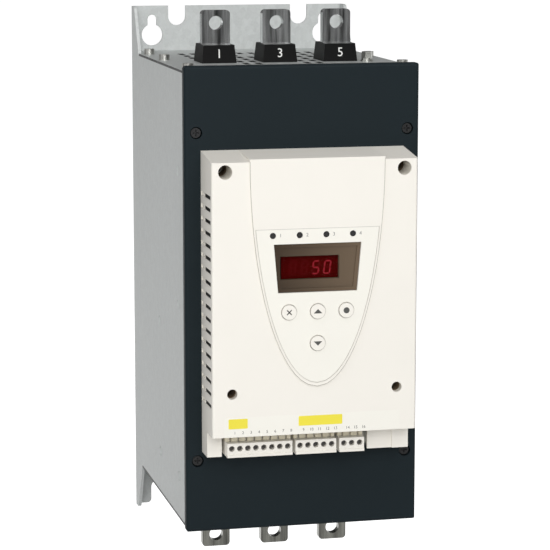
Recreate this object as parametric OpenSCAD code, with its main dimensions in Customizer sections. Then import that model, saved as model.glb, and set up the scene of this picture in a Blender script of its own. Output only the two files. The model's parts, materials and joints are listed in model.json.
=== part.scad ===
// Soft starter for a three-phase motor, in millimetres.
// A galvanised chassis with a dark front cover carries six flat power bars and a cream control panel.
// X runs to the right, Y into the wall and Z up. The wall is the plane y = 0.
// A depth is a distance from the wall towards the front, so depth d lies at y = -d.

/* [Enclosure] */
// Width of the chassis, its plates and the front cover
body_w = 150; // [146:1:160]
// Height of the chassis over its top and bottom plates
body_h = 288; // [284:1:304]
// Overhang of the front cover over each of those plates
cover_lap = 3; // [1:0.5:5]
// Depth from the wall to the face of the front cover
case_d = 194; // [192:1:206]
// Thickness of the folded chassis sheet
sheet_t = 2; // [1.5:0.25:2.5]
// Outer radius of the chassis bends
bend_r = 3; // [2.75:0.25:4]
// Thickness of the top and bottom plates
cap_t = 1.5; // [1:0.25:2]
// Thickness of the front cover sheet
cover_t = 1.5; // [1:0.25:1.75]
// Depth of the folded edge of the front cover
cover_return = 6; // [5:0.5:8]
// Radius of the front cover's edges
cover_r = 2; // [1.8:0.1:4]
// Width of the chassis lips and flanges that take the screws
lip_w = 15; // [13:0.5:16]

/* [Mounting ears] */
// Height of the back plate over the body
ear_up = 30.8; // [24:0.1:34]
// Height of the back plate under the body
foot_down = 33.2; // [26:0.1:40]
// Distance of a keyhole or a foot slot from the side of the chassis
ear_inset = 14.4; // [13:0.1:18]
// Diameter of the round end of a keyhole
keyhole_d = 14.5; // [13:0.5:16]
// Width of the slot of a keyhole
keyhole_slot = 6.2; // [6:0.1:8]
// Height of the round end of a keyhole over the body
keyhole_rise = 10.8; // [7:0.1:13]
// Distance from the round end of a keyhole to the end of its slot
keyhole_throw = 10.6; // [8.5:0.1:12]
// Distance from a keyhole to the top notch beside it
notch_shift = 17.4; // [15:0.1:20]
// Width of a top notch
notch_w = 12; // [8:0.5:13]
// Depth of a top notch
notch_depth = 13.5; // [9:0.5:16]
// Width of a foot slot
foot_slot_w = 10.4; // [8:0.1:12]
// Depth of a foot slot
foot_slot_depth = 16.4; // [12:0.1:20]
// Depth of an ear's side at its tip
ear_tip_d = 12.5; // [8:0.5:14]
// Depth of an ear's side where it meets the body
ear_root_d = 30; // [22:0.5:34]

/* [Power bars] */
// Distance between two phases
phase_pitch = 40; // [38:0.5:41]
// Width of a power bar
bar_w = 18.6; // [17:0.1:20]
// Thickness of a power bar
bar_t = 6; // [5:0.5:7]
// Depth of the middle of the line bars
bar_d = 118; // [114:0.5:121]
// Distance by which the load bars lie behind the line bars
load_step = 6; // [4:0.5:8]
// Reach of the line bars over the body
line_reach = 33.3; // [28:0.1:38]
// Reach of the load bars under the body
load_reach = 35.5; // [28:0.1:40]
// Diameter of the bolt hole in a power bar
bar_hole_d = 9; // [6.5:0.5:10]
// Distance of that hole from the end of the bar
bar_hole_inset = 8.2; // [8:0.1:12]
// Distance of the inner end of a power bar from mid-height
bar_inner_z = 12; // [10:0.5:14]
// Wall of a bushing beside its bar
bushing_rim = 2; // [1.8:0.1:4]
// Depth of a bushing at its foot
bushing_d = 28; // [20:0.5:30]
// Height of a bushing over its plate
bushing_h = 11.5; // [9:0.5:15]
// Draft of each side of a bushing from its foot to its top
bushing_draft = 1.2; // [0.3:0.1:1.3]

/* [Power stage] */
// Height of a thyristor module from the heatsink to its lower terminal
module_h = 32; // [28:0.5:36]
// Width of a thyristor module
module_w = 34; // [28:0.5:36]
// Length of a thyristor module
module_l = 94; // [90:1:100]
// Gap between the heatsink and the sides of the chassis
sink_side_gap = 4; // [3:0.5:10]
// Height of the heatsink
sink_h = 226; // [200:1:252]
// Thickness of the heatsink's base
sink_base_t = 14; // [10:0.5:18]
// Number of cooling fins
fin_count = 18; // [10:1:22]
// Thickness of a cooling fin
fin_t = 2; // [1.5:0.25:3]
// Width of a bypass relay
relay_w = 34; // [28:0.5:36]
// Height of a bypass relay
relay_h = 92; // [88:1:100]
// Distance of the power board's rear face behind the front cover
board_setback = 29; // [26:0.5:34]
// Outer width of a current transformer
ct_w = 36; // [32:0.5:37]
// Height of a current transformer
ct_h = 24; // [16:0.5:28]
// Gap between a fan and the flange beside it
fan_side_gap = 2; // [1:0.5:6]
// Thickness of a fan frame
fan_h = 25; // [20:0.5:28]
// Gap between the fans and the heatsink
fan_gap = 3.5; // [2:0.5:8]
// Number of blades of a fan
fan_blades = 7; // [5:1:9]

/* [Control panel] */
// Width of the panel
panel_w = 129.6; // [127:0.1:134]
// Height of the panel
panel_h = 190; // [186:1:200]
// Depth of the panel from the front cover to its corner faces
panel_d = 33.5; // [32:0.5:36]
// Wall thickness of the panel
panel_wall = 2.5; // [2:0.1:3]
// Drop of the panel's sloped top at its corners
top_drop = 4.1; // [3:0.1:8]
// Drop of the panel's sloped top over the shield
shield_drop = 2.3; // [1.5:0.1:2.8]
// Sideways place of the shield's axis
shield_x = 1.2; // [0:0.1:3]
// Half width of the shield at its top
shield_half_w = 42.5; // [41.5:0.1:43.5]
// Height of the shield's lower tip
shield_tip_z = -49.1; // [-52:0.1:-46]
// Height of the shield's face over the corner faces
shield_rise = 1; // [0.5:0.1:2]
// Width of the rim between the shield's edge and the overlay
overlay_inset = 1.5; // [1:0.1:3]
// Thickness of the overlay film
overlay_t = 0.5; // [0.3:0.1:0.8]
// Height of the overlay's straight top edge
overlay_top_z = 49.6; // [48:0.1:52]
// Diameter of an upper screw well
well_top_d = 8.8; // [6:0.1:9.2]
// Distance of an upper well from the panel's side
well_top_inset = 8.5; // [8.2:0.1:9]
// Distance of an upper well from the panel's upper edge
well_top_drop = 9.9; // [9.5:0.1:12]
// Diameter of a lower screw well
well_low_d = 6.5; // [6:0.1:8]
// Distance of a lower well from the panel's side
well_low_inset = 12.5; // [10:0.1:13]
// Distance of a lower well from the panel's lower edge
well_low_rise = 42.9; // [38:0.1:45]
// Distance between two side vents
vent_pitch = 7.6; // [6:0.1:7.8]
// Distance of the uppermost side vent from the panel's upper edge
vent_top_drop = 25.9; // [22:0.1:30]
// Height of the opening of a side vent
vent_h = 2.5; // [1.5:0.1:3]
// Length of the opening of a side vent
vent_l = 18.3; // [12:0.1:19]
// Distance from the front cover to that opening, taken by the vent's outer groove
vent_lead = 11.5; // [8:0.1:12]

/* [Keys and display] */
// Diameter of a key
key_d = 9.1; // [7:0.1:10]
// Distance between two keys in a row
key_pitch = 18.1; // [16:0.1:20]
// Height of the row of three keys
key_row_z = -2; // [-4:0.1:-1]
// Distance of the lower key under that row
key_drop = 19.9; // [18:0.1:22]
// Height of a key over the shield's face
key_rise = 1; // [0.9:0.1:1.5]
// Travel of a key
key_travel = 0.8; // [0.4:0.1:0.8]
// Diameter of a status light
light_d = 3.5; // [2.5:0.1:4]
// Distance between two status lights
light_pitch = 16.8; // [14:0.1:18]
// Sideways place of the row of status lights on the shield
light_shift = -3; // [-4:0.1:0]
// Height of the row of status lights
light_z = 45.6; // [44.5:0.1:46]
// Half width of the display window at its top
window_top_half = 27.6; // [26:0.1:29]
// Half width of the display window at its bottom
window_low_half = 25; // [24:0.1:26]
// Height of the window's upper edge
window_top_z = 40.2; // [38:0.1:41]
// Height of the window's lower edge
window_low_z = 10; // [8:0.1:12]
// Width of the lens's raised rim
lens_rim = 2.4; // [1.5:0.1:3]
// Width of the display module
display_w = 37; // [32:0.5:40]
// Height of the display module
display_h = 14.2; // [12:0.1:18]
// Sideways place of the display module on the shield
display_x = -3.3; // [-4:0.1:0]
// Height of the middle of the display module
display_z = 25; // [22:0.1:26]

/* [Terminal bay] */
// Height of the bay's upper edge over the panel's lower edge
bay_h = 15.9; // [15:0.1:17]
// Setback of the bay's legs behind the corner faces
leg_setback = 17; // [12:0.5:18]
// Setback of the plugs' fronts behind the corner faces
plug_setback = 8.5; // [4:0.5:10]
// Width of the left leg
leg_left_w = 9.2; // [8:0.1:10]
// Width of the right leg
leg_right_w = 10.5; // [10:0.1:12]
// Gap between the left leg and the first plug
plug_side_gap = 1.9; // [1:0.1:3]
// Thickness of a plug's end walls
plug_end = 0.4; // [0.2:0.05:0.5]
// Gap between two plugs
plug_gap = 2; // [1.4:0.1:2.2]
// Gap between the last plug and the network jack
jack_gap = 4.8; // [3:0.1:6]
// Width of the network jack
jack_w = 15; // [14:0.1:15.5]
// Diameter of a terminal screw
terminal_screw_d = 3.2; // [2.5:0.1:3.4]

/* [Clearances] */
// Gap round a moving piece
slide_gap = 0.3; // [0.2:0.05:0.35]
// Gap between a screw's shank and its hole
shank_gap = 0.15; // [0.1:0.05:0.3]
// Gap round a fixed piece in its seat
seat_gap = 0.2; // [0.1:0.05:0.3]

/* [Hidden] */
$fn = 48;
cap_z = body_h / 2 - cap_t;
cover_h = body_h + 2 * cover_lap;
ear_z = body_h / 2 + ear_up;
foot_z = body_h / 2 + foot_down;
side_d = case_d - cover_return;
inner_x = body_w / 2 - sheet_t;
ear_x = body_w / 2 - ear_inset;
foot_slot_x = ear_x - 1.9;
notch_x = ear_x - notch_shift;
keyhole_z = body_h / 2 + keyhole_rise;
bar_back = bar_d - bar_t / 2;
bar_front = bar_d + bar_t / 2;
line_end = body_h / 2 + line_reach;
load_end = body_h / 2 + load_reach;
bushing_w = bar_w + 2 * bushing_rim;
spigot_w = bar_w + bushing_rim;
spigot_d = bar_t + bushing_rim;
sink_face = bar_back - load_step - module_h;
sink_w = 2 * (inner_x - sink_side_gap);
sink_low = -cap_z + fan_h + fan_gap;
tie_x = inner_x - 8;
tie_rows = [-module_l / 2 - 8, sink_low + 12];
plate_screw_x = body_w / 2 - 6;
plate_screw_rows = [ear_root_d + 8, (side_d + ear_root_d) / 2 - 15, side_d - 12];
cover_screw_x = body_w / 2 - lip_w / 2;
cover_screw_top = body_h / 2 - 38.1;
cover_screw_low = 42.8 - body_h / 2;
pocket_floor = side_d + cover_t;
rear_rivet_d = bar_d - 15;
front_rivet_d = side_d - 18;
rivets = [
  [rear_rivet_d, -27], [rear_rivet_d, -115.5], [front_rivet_d, 80], [front_rivet_d, -5], [front_rivet_d, -116]
];
board_t = 1.6;
board_d = case_d - board_setback;
board_top = cap_z - 47.5;
board_low = 42.5 - cap_z;
angle_t = 1.5;
blade_t = 2;
blade_z = relay_h / 2 + 10;
pole_z = 22;
ct_top_z = -blade_z - 28;
flange_w = lip_w - 2;
fan_w = body_w / 2 - flange_w - fan_side_gap;
fan_d = sheet_t + 4 + fan_w / 2;
fan_x = fan_w / 2 + 0.5;
fan_holes = [
  for (s = [-1, 1], u = [-1, 1], v = [-1, 1]) [s * fan_x + u * (fan_w / 2 - 5), fan_d + v * (fan_w / 2 - 5)]
];
earth_x = body_w / 2 - 18.5;
earth_d = bar_d + 18;
front_d = case_d + panel_d;
shield_d = front_d + shield_rise;
panel_top = panel_h / 2;
panel_low = -panel_h / 2;
shield_root = panel_top - 3;
overlay_tip_z = shield_tip_z + 1.6 * overlay_inset;
bay_top = panel_low + bay_h;
leg_d = front_d - leg_setback;
jack_wall_d = leg_d - 1.2;
plug_d = front_d - plug_setback;
bay_x0 = -panel_w / 2 + leg_left_w;
bay_x1 = panel_w / 2 - leg_right_w;
jack_x = bay_x1 - jack_w - 0.5;
base_t = 2;
card_d = case_d + base_t + 2;
card_front = card_d + board_t;
inner_face = front_d - panel_wall;
well_top_z = panel_top - well_top_drop;
well_low_z = panel_low + well_low_rise;
well_top_x = panel_w / 2 - well_top_inset;
well_low_x = panel_w / 2 - well_low_inset;
wells = [
  [-well_top_x, well_top_z, well_top_d], [well_top_x, well_top_z, well_top_d],
  [-well_low_x, well_low_z, well_low_d], [well_low_x, well_low_z, well_low_d]
];
well_seat = case_d + base_t + 2;
vent_top_z = panel_top - vent_top_drop;
vent_last = floor((vent_top_z - bay_top - 12) / vent_pitch);
window_face = shield_d - 2;
key_face = shield_d + key_rise;
header_d = leg_d + 3;
plug_low = panel_low + 1;
plug_top = bay_top - 6;
header_low = plug_top + seat_gap;
tongue_d0 = header_d - 9.5;
tongue_d1 = header_d - 2.5;
tongue_top = plug_top + 9;
terminal_z = plug_top - 3.4;
plug_ways = [8, 5, 3];
plug_room = jack_x - jack_gap - bay_x0 - plug_side_gap - 2 * plug_gap - 6 * plug_end;
pin_pitch = plug_room / 16;
cable_x = 18;
cable_z = 8;
pivot_gap = 0.08;

// Side-to-side place of a phase, counted 0, 1, 2 from the left
function phase_x(i) = (i - 1) * phase_pitch;

// Step back of a bar, for the line bars at side 1 and the load bars at side -1
function step(side) = side > 0 ? 0 : load_step;

// Direction from one point to another
function unit(v) = v / norm(v);

// Points of the arc that rounds corner b between its neighbours a and c
function corner(a, b, c, r) =
  let (u = unit(a - b), v = unit(c - b), half = acos(u * v) / 2)
  let (o = b + unit(u + v) * r / sin(half))
  let (p = b + u * r / tan(half) - o, q = b + v * r / tan(half) - o)
  let (start = atan2(p.y, p.x), turn = atan2(p.x * q.y - p.y * q.x, p * q))
  [for (i = [0 : 6]) o + r * [cos(start + turn * i / 6), sin(start + turn * i / 6)]];

// Outline of a polygon whose corners are given as x, y and radius
function rounded(list) =
  let (n = len(list), flat = [for (p = list) [p[0], p[1]]])
  [for (i = [0 : n - 1])
    each list[i][2] > 0 ? corner(flat[(i + n - 1) % n], flat[i], flat[(i + 1) % n], list[i][2]) : [flat[i]]];

// Half width of the shield at height z, for a shield of half width w with its tip at z = tip
function shield_half(z, w, tip) =
  let (t = max(0, (shield_root - z) / (shield_root - tip)))
  w * sqrt(max(0, 1 - t * t));

// Heights at which the shield's outline is drawn, from z = high down to its tip
function shield_heights(high, tip) = [for (i = [0 : 18]) tip + (high - tip) * pow(1 - i / 18, 1.6)];

// Outline of the shield from z = high down to its tip
function shield_outline(high, w, tip) = let (rows = shield_heights(high, tip), n = len(rows) - 1) concat(
  [for (i = [0 : n]) [shield_x + shield_half(rows[i], w, tip), rows[i]]],
  [for (i = [n - 1 : -1 : 0]) [shield_x - shield_half(rows[i], w, tip), rows[i]]]
);

// Width of a plug with a number of ways
function plug_w(ways) = ways * pin_pitch + 2 * plug_end;

// Left end of plug k, counted from the left
function plug_x(k) = k == 0 ? bay_x0 + plug_side_gap : plug_x(k - 1) + plug_w(plug_ways[k - 1]) + plug_gap;

// Sideways place of terminal i of plug k
function terminal_x(k, i) = plug_x(k) + plug_end + (i + 0.5) * pin_pitch;

// Rounded rectangle about the origin
module round_rect(w, h, r) {
  square([w - 2 * r, h], center = true);
  square([w, h - 2 * r], center = true);
  for (x = [-1, 1], y = [-1, 1])
    translate([x * (w / 2 - r), y * (h / 2 - r)]) circle(r);
}

// Slot with round ends between two points on one vertical line
module upright_slot(x, y0, y1, w) {
  translate([x - w / 2, y0]) square([w, y1 - y0]);
  translate([x, y0]) circle(d = w);
  translate([x, y1]) circle(d = w);
}

// Extrudes an outline drawn in x and z between two depths
module wall_slab(d0, d1) translate([0, -d0, 0]) rotate([90, 0, 0]) linear_extrude(d1 - d0) children();

// Extrudes an outline drawn in y and z between two places in x
module side_slab(x0, x1) translate([x0, 0, 0]) rotate([90, 0, 90]) linear_extrude(x1 - x0) children();

// Extrudes an outline drawn in x and y between two heights
module floor_slab(z0, z1) translate([0, 0, z0]) linear_extrude(z1 - z0) children();

// Box between two places in x, two depths and two heights
module box(x0, x1, d0, d1, z0, z1) translate([x0, -d1, z0]) cube([x1 - x0, d1 - d0, z1 - z0]);

// Cylinder along the depth
module peg(x, z, d0, d1, dia) translate([x, -d0, z]) rotate([90, 0, 0]) cylinder(d = dia, h = d1 - d0);

// Upright cylinder
module post(x, d, z0, z1, dia) translate([x, -d, z0]) cylinder(d = dia, h = z1 - z0);

// Screw whose head stands on z = 0 and whose shank points down
module pan_screw(head_d, head_h, shank_d, shank_l) {
  translate([0, 0, -shank_l]) cylinder(d = shank_d, h = shank_l);
  difference() {
    cylinder(d = head_d, h = head_h);
    for (a = [0, 90])
      rotate([0, 0, a])
        translate([-head_d * 0.32, -head_d * 0.07, head_h * 0.45])
          cube([head_d * 0.64, head_d * 0.14, head_h]);
  }
}

// Screw at a place on the face at depth d, with its head to the front
module front_screw(x, d, z, head_d, head_h, shank_d, shank_l)
  translate([x, -d, z]) rotate([90, 0, 0]) pan_screw(head_d, head_h, shank_d, shank_l);

// Chassis section in x and y: back plate, sides and front lips
module chassis_section() difference() {
  translate([0, -side_d / 2]) round_rect(body_w, side_d, bend_r);
  translate([0, -side_d / 2]) round_rect(body_w - 2 * sheet_t, side_d - 2 * sheet_t, bend_r - sheet_t);
  translate([lip_w - body_w / 2, -side_d - 1]) square([body_w - 2 * lip_w, sheet_t + 2]);
}

// Side outline of the chassis in y and z, with its tapered ears
module chassis_side() polygon(rounded([
  [1, -foot_z, 0], [-ear_tip_d, -foot_z, 5], [-ear_root_d, -cap_z, 0], [-side_d, -cap_z, 0],
  [-side_d, cap_z, 0], [-ear_root_d, cap_z, 0], [-ear_tip_d, ear_z, 4], [1, ear_z, 0]
]));

// Openings of the back plate in x and z
module ear_openings() {
  for (s = [-1, 1]) {
    translate([s * ear_x, keyhole_z]) circle(d = keyhole_d);
    upright_slot(s * ear_x, keyhole_z, keyhole_z + keyhole_throw, keyhole_slot);
    upright_slot(s * notch_x, ear_z - notch_depth + notch_w / 2, ear_z + notch_w, notch_w);
    upright_slot(s * foot_slot_x, -foot_z - foot_slot_w, -foot_z + foot_slot_depth - foot_slot_w / 2,
      foot_slot_w);
    difference() {
      translate([s * foot_slot_x - foot_slot_w / 2 - 3, -foot_z - 1]) square([foot_slot_w + 6, 4]);
      for (e = [-1, 1]) translate([s * foot_slot_x + e * (foot_slot_w / 2 + 3), 3 - foot_z]) circle(r = 3);
    }
  }
}

// Places of the screws of one plate, as x and depth
module at_plate_screws() for (s = [-1, 1], d = plate_screw_rows)
  translate([s * plate_screw_x, -d, 0]) children();

module chassis() color("Silver") difference() {
  union() {
    intersection() {
      floor_slab(-foot_z, ear_z) chassis_section();
      side_slab(-body_w / 2, body_w / 2) chassis_side();
    }
    for (s = [-1, 1], e = [-1, 1]) {
      x0 = s > 0 ? body_w / 2 - flange_w : sheet_t / 2 - body_w / 2;
      z0 = e > 0 ? cap_z - sheet_t : -cap_z;
      box(x0, x0 + flange_w - sheet_t / 2, 14, side_d - 2 * sheet_t, z0, z0 + sheet_t);
    }
  }
  wall_slab(-1, sheet_t + 1) ear_openings();
  translate([0, 0, -body_h]) at_plate_screws() cylinder(d = 4 + 2 * shank_gap, h = 2 * body_h);
  for (s = [-1, 1], z = [cover_screw_top, cover_screw_low])
    peg(s * cover_screw_x, z, side_d - sheet_t - 1, side_d + 1, 4 + 2 * shank_gap);
  for (s = [-1, 1]) at_rivets(s) rivet_hole();
}

// Vent slots of a plate in x and y, clear of the fans' screws and of the bushings round bars at depth mid
module plate_vents(mid) for (row = [0 : floor((side_d - 54.5) / 19)], col = [-6 : 6]) {
  d = 44 + 19 * row;
  x = col * 8;
  near_phase = min([for (i = [0 : 2]) abs(x - phase_x(i))]);
  near_fan = min([for (p = fan_holes) max(abs(x - p[0]) - 5, abs(d - p[1]) - 10)]);
  if (near_fan > 0 && (abs(d - mid) > bushing_d / 2 + 8.5 || near_phase > bushing_w / 2 + 4))
    translate([x - 2, -d - 6.25]) square([4, 12.5]);
}

// Plate that closes the top of the chassis, with its bars at depth mid
module cap_plate(mid) difference() {
  floor_slab(cap_z, cap_z + cap_t) difference() {
    union() {
      rear_w = 2 * inner_x - 2 * seat_gap;
      translate([-rear_w / 2, -ear_root_d - 2]) square([rear_w, ear_root_d + 2 - sheet_t - seat_gap]);
      translate([-body_w / 2, seat_gap - side_d]) square([body_w, side_d - ear_root_d - 1 - seat_gap]);
    }
    plate_vents(mid);
    for (i = [0 : 2])
      translate([phase_x(i), -mid]) square([spigot_w + 2 * seat_gap, spigot_d + 2 * seat_gap], center = true);
  }
  translate([0, 0, cap_z - 1]) at_plate_screws() cylinder(d = 4 + 2 * shank_gap, h = cap_t + 2);
}

module top_plate() color("Silver") difference() {
  cap_plate(bar_d);
  post(earth_x, earth_d, cap_z - 1, body_h / 2 + 1, 5 + 2 * shank_gap);
}

module bottom_plate() color("Silver") difference() {
  mirror([0, 0, 1]) cap_plate(bar_d - load_step);
  at_fan_screws() translate([0, 0, -body_h / 2 - 1]) cylinder(d = 4 + 2 * shank_gap, h = cap_t + 2);
}

// Places of the screws that hold the two fans
module at_fan_screws() for (p = fan_holes)
  translate([p[0], -p[1], 0]) children();

module plate_screws() color("Gainsboro") {
  at_plate_screws() translate([0, 0, body_h / 2]) pan_screw(7, 3.6, 4, cap_t + sheet_t + 1);
  mirror([0, 0, 1]) {
    at_plate_screws() translate([0, 0, body_h / 2]) pan_screw(7, 3.6, 4, cap_t + sheet_t + 1);
    at_fan_screws() translate([0, 0, body_h / 2]) pan_screw(7, 2.8, 4, cap_t + 6);
  }
}

// Earth bolt with a nut under the plate, a washer and a hexagon head
module earth_screw() color("Gainsboro") translate([earth_x, -earth_d, body_h / 2]) {
  translate([0, 0, -cap_t - 8]) cylinder(d = 5, h = cap_t + 9);
  translate([0, 0, -cap_t - 4]) cylinder(d = 9, h = 4, $fn = 6);
  cylinder(d = 8, h = 1);
  translate([0, 0, 1]) cylinder(d = 6.8, h = 1.2);
  difference() {
    translate([0, 0, 2.2]) cylinder(d = 7.2, h = 4.2, $fn = 6);
    translate([-6, -0.6, 5.2]) cube([12, 1.2, 3]);
  }
}

module front_cover() color("DarkSlateGray") difference() {
  union() {
    difference() {
      intersection() {
        wall_slab(side_d, case_d) round_rect(body_w, cover_h, cover_r);
        floor_slab(-cover_h / 2, cover_h / 2)
          translate([0, (side_d - case_d) / 2 - side_d + 4]) round_rect(body_w, cover_return + 8, cover_r);
        side_slab(-body_w / 2, body_w / 2)
          translate([(side_d - case_d) / 2 - side_d + 4, 0]) round_rect(cover_return + 8, cover_h, cover_r);
      }
      wall_slab(side_d - 1, case_d - cover_t)
        round_rect(body_w - 2 * cover_t, cover_h - 2 * cover_t, cover_r - cover_t);
    }
    at_cover_screws() peg(0, 0, side_d, case_d - cover_t / 2, 10.6);
  }
  at_cover_screws() {
    peg(0, 0, pocket_floor, case_d + 1, 7.6);
    peg(0, 0, side_d - 1, case_d, 4 + 2 * shank_gap);
  }
  for (w = wells) peg(w[0], w[1], side_d, case_d + 1, 4 + 2 * shank_gap);
  box(-cable_x - 3, cable_x + 3, side_d, case_d + 1, -cable_z - 8, cable_z + 8);
}

// Places of the four cover screws
module at_cover_screws() for (s = [-1, 1], z = [cover_screw_top, cover_screw_low])
  translate([s * cover_screw_x, 0, z]) children();

module cover_screws() color("Black") at_cover_screws()
  front_screw(0, pocket_floor, 0, 6.2, 3, 4, cover_t + sheet_t + 3);

// Places of the rivets of one side: two for the heatsink bracket, three for the board bracket
module at_rivets(s) for (p = rivets)
  translate([s * body_w / 2, -p[0], p[1]]) rotate([0, s * 90, 0]) children();

// Bore of a rivet through the chassis side and a bracket
module rivet_hole()
  translate([0, 0, -sheet_t - angle_t - 1]) cylinder(d = 4 + 2 * shank_gap, h = sheet_t + angle_t + 2);

module side_rivets() color("Silver") for (s = [-1, 1]) at_rivets(s) {
  translate([0, 0, -sheet_t - angle_t]) cylinder(d = 4, h = sheet_t + angle_t);
  cylinder(d1 = 7, d2 = 4.5, h = 0.8);
}

module heatsink() color("LightSteelBlue") difference() {
  floor_slab(sink_low, sink_low + sink_h) {
    translate([-sink_w / 2, -sink_face]) square([sink_w, sink_base_t]);
    for (i = [0 : fin_count - 1]) {
      x = -sink_w / 2 + i * (sink_w - fin_t) / (fin_count - 1);
      translate([x, -sink_face + sink_base_t - 1]) square([fin_t, sink_face - sink_base_t - sheet_t + 1]);
    }
  }
  for (i = [0 : 2], e = [-1, 1])
    peg(phase_x(i), e * (module_l / 2 - 6), sink_face - 9, sink_face + 1, 5 + 2 * shank_gap);
  for (s = [-1, 1], z = tie_rows) peg(s * tie_x, z, sink_face - 9, sink_face + 1, 5 + 2 * shank_gap);
}

// Angle that ties the right edge of the heatsink, under the modules, to the chassis side
module heatsink_bracket() difference() {
  union() {
    box(tie_x - 6, inner_x, sink_face, sink_face + 2, sink_low + 2, tie_rows[0] + 6);
    box(inner_x - angle_t, inner_x, sink_face, rear_rivet_d + 8, rivets[1][1] - 8, rivets[0][1] + 8);
  }
  for (z = tie_rows) peg(tie_x, z, sink_face - 1, sink_face + 3, 5 + 2 * shank_gap);
  at_rivets(1) rivet_hole();
}

module heatsink_bracket_left() color("Silver") mirror([1, 0, 0]) heatsink_bracket();

module heatsink_bracket_right() color("Silver") heatsink_bracket();

// Thyristor module with mounting ears, two terminals and a row of gate pins
module thyristor(i) color("DimGray") difference() {
  translate([phase_x(i), 0, 0]) {
    half = module_l / 2 - 12;
    box(-module_w / 2, module_w / 2, sink_face, sink_face + module_h - 4, -half, half);
    box(-module_w / 2, module_w / 2, sink_face, sink_face + 7, -module_l / 2, module_l / 2);
    for (e = [-1, 1])
      box(-9, 9, sink_face + module_h - 5, bar_back - step(e), e * pole_z - 9, e * pole_z + 9);
    box(-8, 8, sink_face + module_h - 5, sink_face + module_h - 1, -3, 3);
  }
  for (e = [-1, 1])
    peg(phase_x(i), e * pole_z, bar_back - step(e) - 9, bar_back - step(e) + 1, 5 + 2 * shank_gap);
  for (e = [-1, 1]) peg(phase_x(i), e * (module_l / 2 - 6), sink_face - 1, sink_face + 8, 5 + 2 * shank_gap);
}

module stage_screws() color("Gainsboro") {
  for (i = [0 : 2], e = [-1, 1])
    front_screw(phase_x(i), sink_face + 7, e * (module_l / 2 - 6), 9, 3.5, 5, 15);
  for (s = [-1, 1], z = tie_rows) front_screw(s * tie_x, sink_face + 2, z, 9, 3.5, 5, 10);
}

// Flat bar with its rear at depth back and its outer end at height end,
// with a bolt hole and two inner screw holes
module power_bar(i, back, end) color("Gainsboro") difference() {
  translate([phase_x(i), -back, (end + bar_inner_z) / 2])
    rotate([90, 0, 0]) linear_extrude(bar_t) round_rect(bar_w, end - bar_inner_z, 2.5);
  peg(phase_x(i), end - bar_hole_inset, back - 1, back + bar_t + 1, bar_hole_d);
  for (z = [pole_z, blade_z]) peg(phase_x(i), z, back - 1, back + bar_t + 1, 5 + 2 * shank_gap);
}

module line_bar(i) power_bar(i, bar_back, line_end);

module load_bar(i) mirror([0, 0, 1]) power_bar(i, bar_back - load_step, load_end);

// Tapered collar that insulates a power bar at depth mid from the top plate
module bushing(i, mid) translate([phase_x(i), -mid, body_h / 2]) difference() {
  union() {
    intersection() {
      rotate([90, 0, 0]) linear_extrude(bushing_d, center = true) polygon([
        [-bushing_w / 2, 0], [bushing_w / 2, 0],
        [bushing_w / 2 - bushing_draft, bushing_h], [bushing_draft - bushing_w / 2, bushing_h]]);
      rotate([90, 0, 90]) linear_extrude(bushing_w, center = true) polygon([
        [-bushing_d / 2, 0], [bushing_d / 2, 0],
        [bushing_d / 2 - bushing_draft, bushing_h], [bushing_draft - bushing_d / 2, bushing_h]]);
    }
    translate([-spigot_w / 2, -spigot_d / 2, -cap_t - 3]) cube([spigot_w, spigot_d, cap_t + 4]);
  }
  translate([-bar_w / 2 - seat_gap, -bar_t / 2 - seat_gap, -cap_t - 4])
    cube([bar_w + 2 * seat_gap, bar_t + 2 * seat_gap, bushing_h + cap_t + 5]);
}

module line_bushings() color("Black") for (i = [0 : 2]) bushing(i, bar_d);

module load_bushings() color("Black") mirror([0, 0, 1]) for (i = [0 : 2]) bushing(i, bar_d - load_step);

module bar_screws() color("Gainsboro") for (i = [0 : 2], e = [-1, 1]) {
  front_screw(phase_x(i), bar_front - step(e), e * pole_z, 9, 3.5, 5, bar_t + 8);
  front_screw(phase_x(i), bar_front - step(e) + blade_t, e * blade_z, 9, 3.5, 5, bar_t + blade_t);
}

// Current transformer ring on a load bar
module transformer(i) color("SteelBlue")
  translate([phase_x(i), load_step - bar_d, ct_top_z - ct_h]) linear_extrude(ct_h) difference() {
    round_rect(ct_w, ct_w, 4);
    square([bar_w + 2 * seat_gap, bar_t + 2 * seat_gap], center = true);
  }

// Sealed bypass relay that bridges the line bar and the load bar of a phase
module bypass_relay(i) color("DarkOrange") difference() {
  translate([phase_x(i), 0, 0]) {
    box(-relay_w / 2, relay_w / 2, bar_front + 6, board_d, -relay_h / 2, relay_h / 2);
    for (e = [-1, 1]) {
      low = e > 0 ? relay_h / 2 : -relay_h / 2 - blade_t;
      rest = bar_front - step(e);
      box(-8, 8, rest, bar_front + 20, low, low + blade_t);
      box(-8, 8, rest, rest + blade_t, e > 0 ? low : low - 16, e > 0 ? low + 18 : low + blade_t);
    }
  }
  for (e = [-1, 1])
    peg(phase_x(i), e * blade_z, bar_front - step(e) - 1, bar_front - step(e) + blade_t + 1,
      5 + 2 * shank_gap);
}

// Power board with its transformer, three film capacitors and the cable socket
module power_board() color("DarkGreen") {
  room = board_setback - cover_return;
  box(6 - inner_x, inner_x - 6, board_d, board_d + board_t, board_low, board_top);
  box(-phase_pitch * 0.55, phase_pitch * 0.55, board_d, board_d + room * 0.74,
    board_top - 50, board_top - 20);
  for (i = [0 : 2]) {
    x = phase_x(i);
    box(x - phase_pitch / 5, x + phase_pitch / 5, board_d, board_d + room * 0.6,
      board_low + 20, board_low + 50);
  }
}

// Angle that carries the right edge of the power board
module board_bracket() difference() {
  union() {
    low = rivets[4][1] - 8;
    box(inner_x - 14, inner_x, board_d + board_t, board_d + board_t + angle_t, low, board_top);
    box(inner_x - angle_t, inner_x, board_d + board_t, side_d - 4, low, board_top);
  }
  at_rivets(1) rivet_hole();
}

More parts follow.
